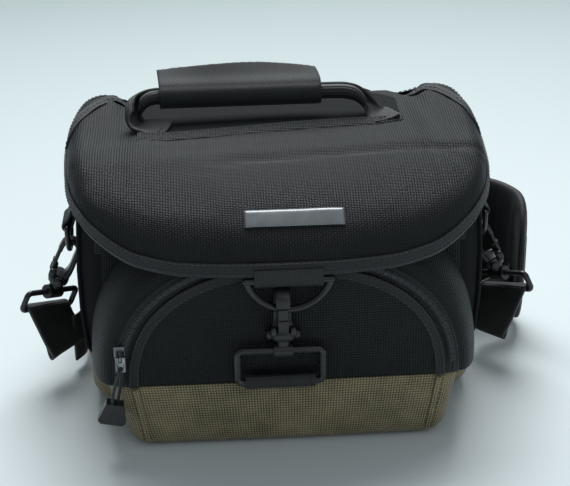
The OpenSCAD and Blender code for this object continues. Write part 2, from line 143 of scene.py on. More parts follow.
def tubes(name, chains):
    """Closed tubes in one object; each chain is a list of rings of points."""
    verts, faces = [], []
    for chain in chains:
        base, n = len(verts), len(chain[0])
        for ring in chain:
            verts += ring
        for row in range(len(chain) - 1):
            for k in range(n):
                a, b = base + row * n + k, base + row * n + (k + 1) % n
                faces.append([a, b, b + n, a + n])
        faces.append(list(range(base, base + n))[::-1])
        faces.append(list(range(len(verts) - n, len(verts))))
    return fix_normals(build(name, verts, faces))


def planar_uv(obj, first, second):
    """Weave straight along two axes, whatever the mesh's own rows do."""
    mesh = obj.data
    co = np.array([v.co for v in mesh.vertices])
    loops = np.zeros(len(mesh.loops), int)
    mesh.loops.foreach_get("vertex_index", loops)
    uv = co[loops][:, [first, second]].astype(np.float32).ravel()
    mesh.uv_layers.active.data.foreach_set("uv", uv)
    return obj


def solidify(obj, thickness, offset=-1.0, even=True):
    mod = obj.modifiers.new("thick", "SOLIDIFY")
    mod.thickness = thickness
    mod.offset = offset
    mod.use_even_offset = even
    return obj


def evaluated_mesh(obj):
    graph = bpy.context.evaluated_depsgraph_get()
    return bpy.data.meshes.new_from_object(obj.evaluated_get(graph), depsgraph=graph)


def set_thickness(obj, thickness, offset=-1.0):
    """Solidifies the sheet for good."""
    mesh = evaluated_mesh(solidify(obj, thickness, offset))
    obj.modifiers.clear()
    obj.data = mesh
    return obj


def thicken(obj, thickness, offset=-1.0):
    """Solidifies the sheet for good, with its faces looking outwards."""
    return fix_normals(set_thickness(obj, thickness, offset))


def join(name, parts):
    """One object from several, with their own placement baked in."""
    bm = bmesh.new()
    for part in parts:
        mesh = evaluated_mesh(part)
        mesh.transform(part.matrix_world)
        bm.from_mesh(mesh)
        bpy.data.objects.remove(part)
    mesh = bpy.data.meshes.new(name)
    bm.to_mesh(mesh)
    bm.free()
    return link_object(name, mesh)


@contextmanager
def edited(obj):
    """The object's mesh for editing, written back at the end."""
    bm = bmesh.new()
    bm.from_mesh(obj.data)
    yield bm
    bm.to_mesh(obj.data)
    bm.free()


def fix_normals(obj):
    with edited(obj) as bm:
        bmesh.ops.recalc_face_normals(bm, faces=bm.faces)
    return obj


def close_holes(obj):
    with edited(obj) as bm:
        bmesh.ops.holes_fill(bm, edges=[e for e in bm.edges if e.is_boundary], sides=0)
        bmesh.ops.recalc_face_normals(bm, faces=bm.faces)
    return obj


def cap_smallest_ring(obj):
    """Closes the last small ring of a radial sheet with one face."""
    with edited(obj) as bm:
        edges = [e for e in bm.edges if e.is_boundary]
        centre = sum((e.verts[0].co for e in edges), Vector()) / max(1, len(edges))
        edges.sort(key=lambda e: (e.verts[0].co - centre).length)
        small = [e for e in edges if (e.verts[0].co - e.verts[1].co).length < 0.2 * MM]
        bmesh.ops.holes_fill(bm, edges=small or edges[: len(edges) // 2], sides=0)
    return obj


def keep_part(obj, wanted):
    """Deletes the faces whose middle isn't wanted."""
    with edited(obj) as bm:
        unwanted = [f for f in bm.faces if not wanted(f.calc_center_median())]
        bmesh.ops.delete(bm, geom=unwanted, context="FACES")
    return obj


def turn_outward(obj, inside):
    """Flips the sheet's faces so that they look away from a point."""
    inside = Vector(inside)
    if sum((p.center - inside).dot(p.normal) * p.area for p in obj.data.polygons) < 0:
        obj.data.flip_normals()
    return obj


def smooth_curve(points, count):
    """Catmull-Rom curve through the points, in count even steps of length."""
    p = np.asarray(points, float)
    p = np.vstack([2 * p[:1] - p[1:2], p, 2 * p[-1:] - p[-2:-1]])
    fine = []
    for i in range(1, len(p) - 2):
        for t in np.linspace(0, 1, 24, endpoint=False):
            a = 2 * p[i]
            b = (p[i + 1] - p[i - 1]) * t
            c = (2 * p[i - 1] - 5 * p[i] + 4 * p[i + 1] - p[i + 2]) * t * t
            d = (3 * p[i] - p[i - 1] - 3 * p[i + 1] + p[i + 2]) * t ** 3
            fine.append((a + b + c + d) / 2)
    fine = np.array(fine + [p[-2]])
    run = arc_lengths(fine)
    return along(fine, run, np.linspace(0, run[-1], count))


def tangents(path):
    step = np.gradient(path, axis=0)
    return step / np.linalg.norm(step, axis=1)[:, None]


def sweep(name, path, profile, normals, scale=None):
    """Carries a closed profile (x across, y along the normal) along a path and caps its ends."""
    path = np.asarray(path, float)
    t = tangents(path)
    n = per_point(normals, len(path))
    n = n - (n * t).sum(1)[:, None] * t
    n /= np.linalg.norm(n, axis=1)[:, None]
    side = np.cross(t, n)
    profile = np.asarray(profile, float)
    rows = []
    for i in range(len(path)):
        sx, sy = (1, 1) if scale is None else scale[i]
        rows.append(path[i] + profile[:, :1] * sx * side[i] + profile[:, 1:] * sy * n[i])
    return close_holes(grid(name, rows, close_u=True))


def arc_points(cx, cy, r, angles):
    """Points on a circle at angles in degrees."""
    return [(cx + r * math.cos(math.radians(a)), cy + r * math.sin(math.radians(a))) for a in angles]


def round_profile(w, h, r, steps=4):
    """Rounded rectangle, centred."""
    r = min(r, w / 2 * 0.999, h / 2 * 0.999)
    x, y = w / 2 - r, h / 2 - r
    out = []
    for cx, cy, start in ((x, y, 0), (-x, y, 90), (-x, -y, 180), (x, -y, 270)):
        out += arc_points(cx, cy, r, [start + 90 * k / steps for k in range(steps + 1)])
    return out


def circle_profile(r, steps=12):
    turn = 2 * math.pi / steps
    return [(r * math.cos(turn * k), r * math.sin(turn * k)) for k in range(steps)]


def stack(name, sections, place):
    """A closed lump through rounded rectangles, each (at, width, height, corner radius)."""
    rows = [[place(at, a, b) for a, b in round_profile(w, h, r, 5)] for at, w, h, r in sections]
    return close_holes(grid(name, rows, close_u=True))


def smoothstep(t):
    t = min(1.0, max(0.0, t))
    return t * t * (3 - 2 * t)


def settle(obj, held, most, pressure=0.0, slack=0.03):
    """Cloth simulation: between the held vertices the cloth rumples, by no more than a stated distance."""
    scene = bpy.context.scene
    mesh = obj.data
    rest = np.array([v.co[:] for v in mesh.vertices])
    group = obj.vertex_groups.new(name="held")
    group.add([i for i, co in enumerate(rest) if held(i, co)], 1.0, "REPLACE")
    cloth = obj.modifiers.new("settle", "CLOTH")
    cloth.collision_settings.use_collision = False
    cloth.collision_settings.use_self_collision = False
    stuff = cloth.settings
    stuff.vertex_group_mass = "held"
    stuff.quality = 5
    stuff.mass = 0.01
    stuff.tension_stiffness = stuff.compression_stiffness = 8
    stuff.shear_stiffness = 4
    stuff.bending_stiffness = 0.02
    stuff.shrink_min = -slack
    if pressure:
        stuff.use_pressure = True
        stuff.uniform_pressure_force = pressure
    for number in range(1, 16):
        scene.frame_set(number)
    moved = obj.evaluated_get(bpy.context.evaluated_depsgraph_get()).to_mesh()
    shift = np.array([v.co[:] for v in moved.vertices]) - rest
    obj.modifiers.remove(cloth)
    obj.vertex_groups.remove(group)
    scene.frame_set(1)
    far = np.linalg.norm(shift, axis=1).max()
    mesh.vertices.foreach_set("co", (rest + shift * min(1.0, most / max(far, 1e-9))).ravel())
    mesh.update()
    return obj


# One stitch from end to end: place along it, fatness and height over the cloth.
STITCH = ((-0.5, 0.25, -0.6), (-0.3, 0.9, 0.2), (0.0, 1.0, 0.55), (0.3, 0.9, 0.2), (0.5, 0.25, -0.6))


def stitches(name, path, normals, length=2.6 * MM, pitch=3.6 * MM, radius=0.32 * MM, closed=False):
    """A row of thread stitches on a path, each a small rounded bead pulled into the cloth at its ends."""
    path = np.asarray(path, float)
    normals = per_point(normals, len(path))
    if closed:
        path, normals = np.vstack([path, path[:1]]), np.vstack([normals, normals[:1]])
    run = arc_lengths(path)
    count = max(2, int(run[-1] / pitch))
    chains = []
    for i in range(count):
        s = (i + 0.5) * run[-1] / count
        up = along(normals, run, s)
        up /= np.linalg.norm(up)
        ahead, behind = min(s + length / 2, run[-1]), max(s - length / 2, 0)
        forward = along(path, run, ahead) - along(path, run, behind)
        forward /= np.linalg.norm(forward) + 1e-12
        out = np.cross(forward, up)
        chain = []
        for place, fat, lift in STITCH:
            middle = along(path, run, np.clip(s + place * length, 0, run[-1])) + up * lift * radius
            chain.append([middle + (out * a + up * b * 0.8) * radius * fat for a, b in circle_profile(1, 6)])
        chains.append(chain)
    return tubes(name, chains)


# ---------------------------------------------------------------- materials


class Nodes:
    """Short names for building a node material."""

    def __init__(self, name):
        self.mat = bpy.data.materials.new(name)
        self.mat.use_nodes = True
        self.tree = self.mat.node_tree
        self.shader = self.tree.nodes["Principled BSDF"]

    def node(self, kind, **settings):
        made = self.tree.nodes.new(kind)
        for key, value in settings.items():
            setattr(made, key, value)
        return made

    def feed(self, socket, value):
        """Links a socket, or sets it; a colour gets its alpha."""
        if hasattr(value, "links"):
            self.tree.links.new(value, socket)
        else:
            socket.default_value = (*value, 1) if isinstance(value, tuple) and len(value) == 3 else value

    def math(self, operation, a, b=None, clamp=False):
        made = self.node("ShaderNodeMath", operation=operation, use_clamp=clamp)
        self.feed(made.inputs[0], a)
        if b is not None:
            self.feed(made.inputs[1], b)
        return made.outputs[0]

    def mul(self, a, b, clamp=False):
        return self.math("MULTIPLY", a, b, clamp)

    def add(self, a, b, clamp=False):
        return self.math("ADD", a, b, clamp)

    def sub(self, a, b):
        return self.math("SUBTRACT", a, b)

    def mix(self, factor, a, b):
        made = self.node("ShaderNodeMix", data_type="RGBA")
        for slot, value in ((0, factor), (6, a), (7, b)):
            self.feed(made.inputs[slot], value)
        return made.outputs[2]

    def noise(self, scale, detail=2.0):
        made = self.node("ShaderNodeTexNoise")
        for key, value in (("Scale", scale), ("Detail", detail), ("Roughness", 0.5), ("Vector", self.position())):
            self.feed(made.inputs[key], value)
        return made.outputs["Fac"]

    def drift(self, scale, detail, amount):
        """Noise centred on zero."""
        return self.mul(self.sub(self.noise(scale, detail), 0.5), amount)

    def ridge(self, value):
        """One rounded hump per unit."""
        return self.math("SINE", self.mul(self.math("FRACT", value), math.pi))

    def over(self, a, b, share):
        """Ridge a, lower where ridge b is low."""
        return self.mul(a, self.add(self.mul(b, share), 1 - share))

    def position(self):
        return self.node("ShaderNodeTexCoord").outputs["Object"]

    def split(self, vector):
        made = self.node("ShaderNodeSeparateXYZ")
        self.feed(made.inputs[0], vector)
        return made.outputs

    def uv(self):
        return self.split(self.node("ShaderNodeUVMap").outputs[0])[:2]

    def bump(self, height, distance, strength):
        made = self.node("ShaderNodeBump")
        for key, value in (("Distance", distance), ("Strength", strength), ("Height", height)):
            self.feed(made.inputs[key], value)
        self.feed(self.shader.inputs["Normal"], made.outputs[0])

    def set(self, **values):
        for key, value in values.items():
            self.feed(self.shader.inputs[key.replace("_", " ")], value)
        return self.mat

    def fabric(self, tone, dark, light, fuzz=0.4, **values):
        """Cloth between two colours, with the same cool sheen on every kind."""
        return self.set(Base_Color=self.mix(tone, dark, light), Sheen_Roughness=fuzz,
                        Sheen_Tint=(0.75, 0.85, 0.9), **values)


def woven(name, dark, light, pitch, roughness=0.5, sheen=0.25, streak=0.25, angle=0.0, gloss=0.45):
    """Plain basket weave from the mesh's own UVs, warp and weft crossing over and under."""
    n = Nodes(name)
    u, v = n.uv()
    if angle:
        c, s = math.cos(math.radians(angle)), math.sin(math.radians(angle))
        u, v = n.sub(n.mul(u, c), n.mul(v, s)), n.add(n.mul(u, s), n.mul(v, c))
    wobble = n.drift(420, 1, 0.22)
    a, b = (n.add(n.math("DIVIDE", side, pitch), wobble) for side in (u, v))
    parity = n.math("PINGPONG", n.add(n.math("FLOOR", a), n.math("FLOOR", b)), 1.0)
    ridge_a, ridge_b = n.ridge(a), n.ridge(b)
    warp, weft = n.over(ridge_a, ridge_b, 0.6), n.over(ridge_b, ridge_a, 0.6)
    height = n.add(n.mul(parity, warp), n.mul(n.sub(1.0, parity), weft))
    # Painted shade: the colour follows the threads' height, so the hollows between threads are darker; the noise
    # streaks are the cloth's own uneven tone.
    shade = n.add(n.math("POWER", height, 1.3), n.drift(90, 3, streak))
    n.bump(height, pitch * 0.25, 0.85)
    return n.fabric(
        n.add(shade, n.drift(14, 2, streak), clamp=True), dark, light, Sheen_Weight=sheen,
        Roughness=n.add(n.mul(height, -0.12), roughness + 0.08), Specular_IOR_Level=gloss)


def ribbed(name, dark, light, rib=1.5 * MM, pick=0.9 * MM):
    """Webbing: ribs along its length with a fine pick across them."""
    n = Nodes(name)
    u, v = n.uv()
    a, b = n.math("DIVIDE", u, rib), n.math("DIVIDE", v, pick)
    shift = n.mul(n.math("PINGPONG", n.math("FLOOR", a), 1.0), 0.5)
    height = n.over(n.ridge(a), n.ridge(n.add(b, shift)), 0.5)
    n.bump(height, 0.35 * MM, 0.8)
    # Painted shade: the colour follows the ribs' height, so the hollows between ribs are darker; the noise is the
    # tape's own uneven tone.
    tone = n.add(height, n.drift(60, 3, 0.3), clamp=True)
    return n.fabric(tone, dark, light, Roughness=0.55, Sheen_Weight=0.08)


def napped(name, dark, light, grain=900.0, roughness=0.8, sheen=0.35):
    """Soft brushed or knitted cloth."""
    n = Nodes(name)
    fine = n.noise(grain, 3)
    n.bump(fine, 0.2 * MM, 0.6)
    tone = n.add(n.mul(fine, 0.7), n.mul(n.noise(30, 2), 0.4), clamp=True)
    return n.fabric(tone, dark, light, 0.5, Roughness=roughness, Sheen_Weight=sheen)


def moulded(name, colour, roughness=0.38, metallic=0.0, wear=0.0, worn=(0.3, 0.3, 0.3)):
    """Moulded plastic or coated wire: fine grain, a little dust, and rubbed edges."""
    n = Nodes(name)
    n.bump(n.noise(1400, 2), 0.05 * MM, 0.35)
    shade = n.mix(n.noise(120, 3), tuple(c * 0.8 for c in colour), tuple(c * 1.25 for c in colour))
    if wear:
        edge = n.node("ShaderNodeNewGeometry").outputs["Pointiness"]
        rub = n.mul(n.sub(edge, 0.53), 9.0, clamp=True)
        shade = n.mix(n.mul(n.mul(rub, n.noise(260, 4)), wear, clamp=True), shade, worn)
    rough = n.add(n.mul(n.noise(200, 3), 0.16), roughness - 0.08)
    return n.set(Base_Color=shade, Roughness=rough, Metallic=metallic, Specular_IOR_Level=0.5)


BLACK = woven("black_ballistic", (0.0022, 0.0027, 0.003), (0.018, 0.0215, 0.0235), 1.75 * MM,
              roughness=0.47, sheen=0.02, gloss=0.2)
TWILL = woven("black_twill", (0.003, 0.0035, 0.004), (0.030, 0.035, 0.038), 1.5 * MM,
              roughness=0.45, sheen=0.1, gloss=0.35, angle=38)
FINE = woven("black_packcloth", (0.004, 0.0045, 0.005), (0.013, 0.015, 0.016), 0.7 * MM,
             roughness=0.75, sheen=0.03, gloss=0.12)
TAN = woven("tan_ballistic", (0.045, 0.036, 0.019), (0.40, 0.335, 0.19), 1.75 * MM,
            roughness=0.6, sheen=0.2, streak=0.5)
WEB = ribbed("black_webbing", (0.003, 0.0035, 0.004), (0.013, 0.015, 0.0165))
TAPE = ribbed("binding_tape", (0.003, 0.0035, 0.004), (0.016, 0.018, 0.020), rib=1.1 * MM, pick=0.6 * MM)
ZIP_TAPE = ribbed("zip_tape", (0.006, 0.007, 0.008), (0.028, 0.031, 0.034), rib=0.7 * MM, pick=0.5 * MM)
COIL = moulded("zip_coil", (0.045, 0.050, 0.054), roughness=0.32)
LINING = napped("loop_lining", (0.026, 0.029, 0.031), (0.060, 0.066, 0.070))
PAD = napped("pad_cloth", (0.004, 0.0045, 0.005), (0.009, 0.010, 0.011), grain=500, roughness=0.7, sheen=0.06)
BOARD = moulded("board", (0.05, 0.05, 0.045), roughness=0.7)
PLASTIC = moulded("black_plastic", (0.010, 0.011, 0.012), roughness=0.34)
WIRE = moulded("coated_wire", (0.012, 0.013, 0.014), roughness=0.26, wear=0.7, worn=(0.12, 0.13, 0.13))
SLIDER = moulded("slider_metal", (0.16, 0.17, 0.18), roughness=0.3, metallic=1.0, wear=1.0,
                 worn=(0.5, 0.5, 0.5))
BADGE = moulded("badge_plate", (0.22, 0.23, 0.24), roughness=0.4, metallic=0.6)
THREAD = moulded("thread", (0.045, 0.050, 0.053), roughness=0.6)
TAN_THREAD = moulded("tan_thread", (0.10, 0.078, 0.040), roughness=0.6)
CORD = woven("braided_cord", (0.006, 0.007, 0.008), (0.035, 0.038, 0.040), 0.8 * MM, angle=45)

SLOTS = {
    "black_weave": (BLACK, TWILL, FINE), "base_cloth": (TAN, TAN_THREAD), "webbing": (WEB, TAPE, THREAD),
    "zip": (ZIP_TAPE, COIL), "lining": (LINING,), "pad": (PAD,), "plastic": (PLASTIC,), "badge": (BADGE,),
    "cord": (CORD,),
}


def paint(obj, material):
    obj.data.materials.clear()
    obj.data.materials.append(material)
    return obj


def put(obj, body, material, *replaces, slot=None):
    """Paints a piece, rides it on its body and hides the CAD nodes it stands for."""
    paint(obj, material)
    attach(obj, body)
    slot or next(name for name, materials in SLOTS.items() if material in materials)
    if replaces:
        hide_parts(*replaces)
    return obj


def sew(name, path, normals, body="root", material=THREAD, slot=None, **how):
    put(stitches(name, path, normals, **how), body, material, slot=slot)


def dress(node, material, width=0.0):
    """A carried CAD node: welded, softly bevelled and given its material."""
    obj = paint(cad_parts[node], material)
    obj.modifiers.new("weld", "WELD").merge_threshold = 0.01 * MM
    if width:
        mod = obj.modifiers.new("bevel", "BEVEL")
        mod.width = width
        mod.segments = 2
        mod.limit_method = "ANGLE"
        mod.angle_limit = math.radians(30)
        mod.harden_normals = False
    obj.modifiers.new("normals", "WEIGHTED_NORMAL").keep_sharp = False
    obj.data.polygons.foreach_set("use_smooth", [True] * len(obj.data.polygons))


# ---------------------------------------------------------------- main body


def rounded_ring(hx, hy, r, z, bulge=0.0):
    """Ring round a rounded rectangle whose sides swell outwards; it starts at the rear right corner."""
    per_side, per_corner = 14, 7
    corners = ((hx - r, hy - r, 0), (r - hx, hy - r, 90), (r - hx, r - hy, 180), (hx - r, r - hy, 270))
    arcs = [arc_points(cx, cy, r, [start + 90 * k / per_corner for k in range(per_corner + 1)])
            for cx, cy, start in corners]
    plan = []
    for arc, after in zip(arcs, arcs[1:] + arcs[:1]):
        (x0, y0), (x1, y1) = arc[-1], after[0]
        plan += arc
        plan += [(x0 + (x1 - x0) * t, y0 + (y1 - y0) * t) for t in (k / per_side for k in range(1, per_side))]
    return [(x + bulge * max(0.0, 1 - (y / hy) ** 2) * math.copysign(1, x) * min(1.0, abs(x) / hx) ** 6, y, z)
            for x, y in plan]


def body_half_width(z):
    """The padded sides are fullest just below the lid and draw in towards the floor."""
    full = BODY_HI.x + 3.4 * MM
    t = z / BODY_HI.z
    return full - 3.6 * MM * max(0.0, t - 0.62) / 0.38 - 5.5 * MM * max(0.0, 0.45 - t) / 0.45


def floor_turn(z, r):
    """How far the cloth has turned in at height z above the floor, for a bottom edge of radius r."""
    return r - math.sqrt(max(0.0, r * r - max(0.0, r - z) ** 2))


def body_ring(z, inset=0.0, bulge=1.5 * MM):
    """Plan of the body's cloth at height z."""
    tuck = floor_turn(z, BODY_TURN)
    wrinkle = 0.5 * MM * math.sin(z * 160)
    return rounded_ring(body_half_width(z) - inset - tuck, BODY_HI.y - inset - tuck * 0.6,
                        CORNER_R - inset * 0.6, z, bulge + wrinkle)


def make_body():
    hy, top = BODY_HI.y, BODY_HI.z
    half = body_half_width(0) - BODY_TURN
    rows = [rounded_ring(half * f, (hy - BODY_TURN * 0.6) * f, CORNER_R * f, 0.05 * MM)
            for f in (0.25, 0.6, 0.92, 0.985)]
    rows += [body_ring(h * MM) for h in (0.2, 0.7, 1.6, 3, 5, 7.5, 10.5, 14, 20, 26, 32, 37)] + [body_ring(TAN_Z)]
    base = fix_normals(grid("base_cloth", rows, close_u=True))
    put(solidify(base, 1.6 * MM), "root", TAN, "base_band")

    rows = [body_ring(TAN_Z + up * MM, inset * MM) for up, inset in ((-3, 0.6), (-0.4, 0.1), (0.6, -0.7), (2, -0.9))]
    rows += [body_ring(z) for z in np.linspace(TAN_Z + 5 * MM, top - 3 * MM, 22)]
    rows += [body_ring(top - down * MM, inset * MM, bulge * MM)
             for down, inset, bulge in ((1, 0.8, 0.5), (0, 2.5, 0), (0, 5.5, 0), (1, 7.4, 0), (4, 8, 0))]
    shell = put(fix_normals(grid("body_cloth", rows, close_u=True)), "root", BLACK, "body_shell")
    shell.data.materials.append(FINE)     # the side panels are a smoother cloth
    for poly in shell.data.polygons:
        poly.material_index = int(abs(poly.center.x) > BODY_HI.x - CORNER_R * 0.55)

    rows = [body_ring(z, inset * MM, 0) for z, inset in ((top - 3 * MM, 8.4), (100 * MM, 8.8), (40 * MM, 8.8))]
    rows += [rounded_ring((BODY_HI.x - 10 * MM) * f, (hy - 9.5 * MM) * f, 10 * MM * f, 10.3 * MM)
             for f in (1.0, 0.97, 0.5, 0.1)]
    lining = fix_normals(grid("body_lining_cloth", rows, close_u=True))
    put(solidify(lining, 1.2 * MM, 1.0), "root", LINING, "body_lining")
    dress("base_board", BOARD)


def make_piping():
    """Upright piping at the body's four corners and the seam over the tan base."""
    sine, cosine = math.sin(math.radians(60)), math.cos(math.radians(60))
    for sx, side in SIDES:
        for sy, tag in ((-1, "front"), (1, "rear")):
            out = np.array([sx * sine, sy * cosine, 0])
            path = []
            for z in np.linspace(TAN_Z + 0.5 * MM, BODY_HI.z - 6 * MM, 60):
                sunk = max(0.0, 1 - (z - TAN_Z) / (6 * MM)) * 3.5 * MM
                x = body_half_width(z) + 1.5 * MM - sunk - CORNER_R + CORNER_R * sine
                path.append((sx * x, sy * (BODY_HI.y - CORNER_R + CORNER_R * cosine), z))
            path = np.array(path) + out * 0.7 * MM
            put(sweep(f"corner_piping_{tag}_{side}", path, circle_profile(1.5 * MM, 10), out), "root", FINE)
    line = np.array(body_ring(TAN_Z + 2.2 * MM, -1.0 * MM))
    out = line * [1, 1, 0]
    sew("base_seam_thread", line, out / np.linalg.norm(out, axis=1)[:, None], closed=True)


# ---------------------------------------------------------------- front pocket


def super_point(a, b, n, t):
    c, s = math.cos(t), math.sin(t)
    return a * math.copysign(abs(c) ** (2 / n), c), b * math.copysign(abs(s) ** (2 / n), s)


def arch_path(inset, y, count=97):
    """Evenly spaced points along the arch, from its left foot over the top to its right foot."""
    plan = [super_point(ARCH_A - inset, ARCH_B - inset, ARCH_N, t) for t in np.linspace(math.pi, 0, 400)]
    raw = np.array([(x, y, SEAM_Z + max(0.0, z)) for x, z in plan])
    run = arc_lengths(raw)
    return along(raw, run, np.linspace(0, run[-1], count))


def make_gusset():
    """The pocket's padded side, from the body's face round to the zip."""
    inner = arch_path(0, 0)
    rows = [arch_path(1.2 * MM, FACE_Y + 1.4 * MM)]
    for k in range(15):
        turn = k / 14 * math.pi / 2
        swell = 16 * MM * math.sin(turn) ** 0.9
        y = FACE_Y + 3 * MM + (BODY_LO.y - FACE_Y - 3.4 * MM) * (1 - math.cos(turn))
        wide, high = 1 + swell / ARCH_A, 1 + swell * 1.1 / ARCH_B
        rows.append([(x * wide, y, SEAM_Z + (z - SEAM_Z) * high) for x, _, z in inner])
    gusset = turn_outward(grid("pocket_gusset_cloth", rows), (0, BODY_LO.y, SEAM_Z))
    put(solidify(gusset, 2.2 * MM), "root", BLACK, "pocket_gusset")


def make_zip():
    """Two tapes with a real coil of teeth between them; the insets are in mm from the arch's edge."""
    for half, body, side, start, end, sewn, node in (
        ("fixed", "root", -1, 0.6, 4.7, 1.5, "gusset_zip_tape"),
        ("panel", "pocket", 1, 5.3, 10.5, 9.6, "panel_zip_tape"),
    ):
        name = f"zip_tape_{half}"
        rows = []
        for k in range(5):
            inset = start + (end - start) * k / 4
            near = 1 - min(1.0, abs(inset - 5) / 4)
            rows.append(arch_path(inset * MM, FACE_Y + (1.6 - near) * MM))
        tape = turn_outward(grid(name, rows), (0, 0, SEAM_Z + 40 * MM))
        put(solidify(tape, 0.9 * MM), body, ZIP_TAPE, node)
        sew(name + "_thread", arch_path(sewn * MM, FACE_Y + 1.2 * MM), (0, -1, 0), body, slot="zip",
            length=2.2 * MM, pitch=3.0 * MM, radius=0.26 * MM)
        put(coil(f"zip_coil_{half}", side), body, COIL)


def coil(name, side):
    """Half of the coil: one loop of thick thread per tooth, reaching over the middle line."""
    line = arch_path(5 * MM, FACE_Y - 0.1 * MM, 900)
    run = arc_lengths(line)
    pitch = 1.5 * MM
    front = np.array([0, -1, 0])
    chains = []
    for i in range(3, int(run[-1] / pitch) - 6):
        k = min(len(line) - 2, int(np.searchsorted(run, (i + (0.5 if side > 0 else 0)) * pitch)))
        p, t = line[k], line[k + 1] - line[k - 1]
        t /= np.linalg.norm(t)
        inward = -np.cross(t, front)
        if inward @ (np.array([0, p[1], SEAM_Z + 30 * MM]) - p) < 0:
            inward = -inward
        chain = []
        for f in (0, 0.25, 0.5, 0.75, 1):
            reach = side * (2.3 * (1 - f) - 0.5 * f) * MM
            fat = 0.5 * MM * (0.75 + 0.4 * f)
            centre = p + inward * reach + front * 0.75 * MM * math.sin(math.pi * (0.15 + 0.75 * f))
            chain.append([centre + (t * a + front * b) * fat for a, b in circle_profile(1, 6)])
        chains.append(chain)
    return tubes(name, chains)


def make_panel():
    """The pocket's padded face: a crowned arch with its bottom edge on the tan seam."""
    centre = np.array([0, 0, SEAM_Z + 34 * MM])
    edge = arch_path(12 * MM, 0)
    outline = np.vstack([edge, np.linspace(edge[-1], edge[0], 61)[1:-1]])
    outline[:, 2] = np.maximum(outline[:, 2], SEAM_Z + 0.3 * MM)
    rows = [outline * [1, 0, 1] + [0, FACE_Y + 5 * MM, 0]]
    for k in range(23):
        s = max(1 - k / 22, 0.02)
        row = centre + (outline - centre) * s
        lift = FACE_Y - (1.7 * MM * (1 - s ** 6) + 0.35 * MM)
        sag = 0.35 * MM * np.sin(row[:, 0] * 95) * np.sin(row[:, 2] * 120) * (1 - s ** 4)
        row[:, 1] = lift + sag
        rows.append(row)
    panel = planar_uv(grid("pocket_panel_cloth", rows, close_u=True), 0, 2)
    turn_outward(cap_smallest_ring(panel), (0, BODY_LO.y, SEAM_Z + 30 * MM))
    settle(panel, lambda i, co: i < 4 * len(outline), 1.5 * MM, pressure=6)
    put(panel, "pocket", BLACK, "pocket_panel")

    path = arch_path(13.2 * MM, FACE_Y - 0.9 * MM, 121)
    binding = sweep("pocket_binding", path, round_profile(6.6 * MM, 1.5 * MM, 0.7 * MM), (0, -1, 0))
    put(binding, "pocket", TAPE, "panel_binding")
    for k, inset in enumerate((10.9, 15.4)):
        sew(f"pocket_binding_thread_{k}", arch_path(inset * MM, FACE_Y - 1.7 * MM, 200), (0, -1, 0), "pocket")


def base_ring(z):
    """Plan of the tan pocket base at height z: back left, round the front, to back right."""
    f = (z - BASE_LO.z) / (BASE_HI.z - BASE_LO.z)
    tuck = floor_turn(z, 9 * MM)
    front_w = (101 + 10.5 * f ** 0.8) * MM - tuck
    back_w = (115 + 9 * f) * MM - tuck
    front_y = FACE_Y - 1.6 * MM * math.sin(math.pi * min(1.0, 0.15 + f * 0.85)) + tuck * 0.8 + 0.4 * MM
    back_y = BODY_LO.y - 0.6 * MM
    r = 11 * MM
    half = [(-back_w + (back_w - front_w) * k / 8 * 0.9, back_y + (front_y + r - back_y) * k / 8) for k in range(8)]
    half += arc_points(-front_w + r * 0.95, front_y + r, r, [180 + 80 * k / 8 for k in range(9)])
    x0, y0 = half[-1]
    middle = []
    for k in range(1, 40):
        arch = math.sin(math.pi * k / 40)
        middle.append((x0 - 2 * x0 * k / 40, y0 + (front_y - y0) * arch ** 0.5 - 0.8 * MM * arch))
    return [(x, y, z) for x, y in half + middle + [(-x, y) for x, y in reversed(half)]]


def make_pocket_base():
    floor = base_ring(0.3 * MM)
    rows = [[(x * f, BODY_LO.y - 1 * MM + (y - BODY_LO.y) * (0.2 + 0.8 * f), 0.1 * MM) for x, y, _ in floor]
            for f in (0.15, 0.5, 0.85)]
    rows += [base_ring(h * MM) for h in (0.3, 1.0, 2.2, 4, 6.5, 9.5, 14, 20, 26, 32, 38, 43, 46)]
    base = turn_outward(grid("pocket_base_cloth", rows), (0, BODY_LO.y, 30 * MM))
    put(solidify(base, 1.8 * MM), "root", TAN, "pocket_base")
    for s, side in SIDES:
        seam = np.array([
            (s * (90.5 + 8 * z / 46) * MM, FACE_Y - 1.9 * MM + floor_turn(z * MM, 9 * MM) * 0.8, z * MM)
            for z in np.linspace(5, 45, 24)])
        tape = sweep(f"pocket_seam_{side}", seam, round_profile(3.2 * MM, 1.0 * MM, 0.4 * MM), (0, -1, 0))
        put(tape, "root", TAN)
        sew(f"pocket_seam_thread_{side}", seam + [s * 2.6 * MM, 0.2 * MM, 0], (0, -1, 0), material=TAN_THREAD)


# ---------------------------------------------------------------- lid


def lid_outline(inset_side, front_b, inset_back, rear_r):
    """Plan outline, from the left side at LID_CY round the front, right side, rear and back again."""
    a = LID_A - inset_side
    back = LID_HI.y - inset_back
    top = back - rear_r
    pts = []
    for k in range(73):
        x, y = super_point(a, front_b, LID_N, math.pi + math.pi * k / 72)
        pts.append((x, LID_CY + y))
    pts += [(a, LID_CY + (top - LID_CY) * k / 10) for k in range(1, 10)]
    pts += arc_points(a - rear_r, top, rear_r, [90 * k / 12 for k in range(13)])
    pts += [(a - rear_r - 2 * (a - rear_r) * k / 36, back) for k in range(1, 36)]
    pts += arc_points(rear_r - a, top, rear_r, [90 + 90 * k / 12 for k in range(13)])
    pts += [(-a, top + (LID_CY - top) * k / 10) for k in range(1, 10)]
    return np.array([(x * hood_taper(y), y) for x, y in pts])


def hood_taper(y):
    """The hood is widest over the side rings and draws in towards the hinge."""
    places = np.array([-124, -60, -30, -5, 20, 50, 66]) * MM
    return float(np.interp(y, places, [0.99, 0.993, 1.006, 1.02, 1.012, 0.965, 0.955]))


def ear(x, y):
    """1 at the hood's two lifted rear corners, 0 elsewhere."""
    return smoothstep((abs(x) - 93 * MM) / (15 * MM)) * smoothstep((y + 18 * MM) / (66 * MM))


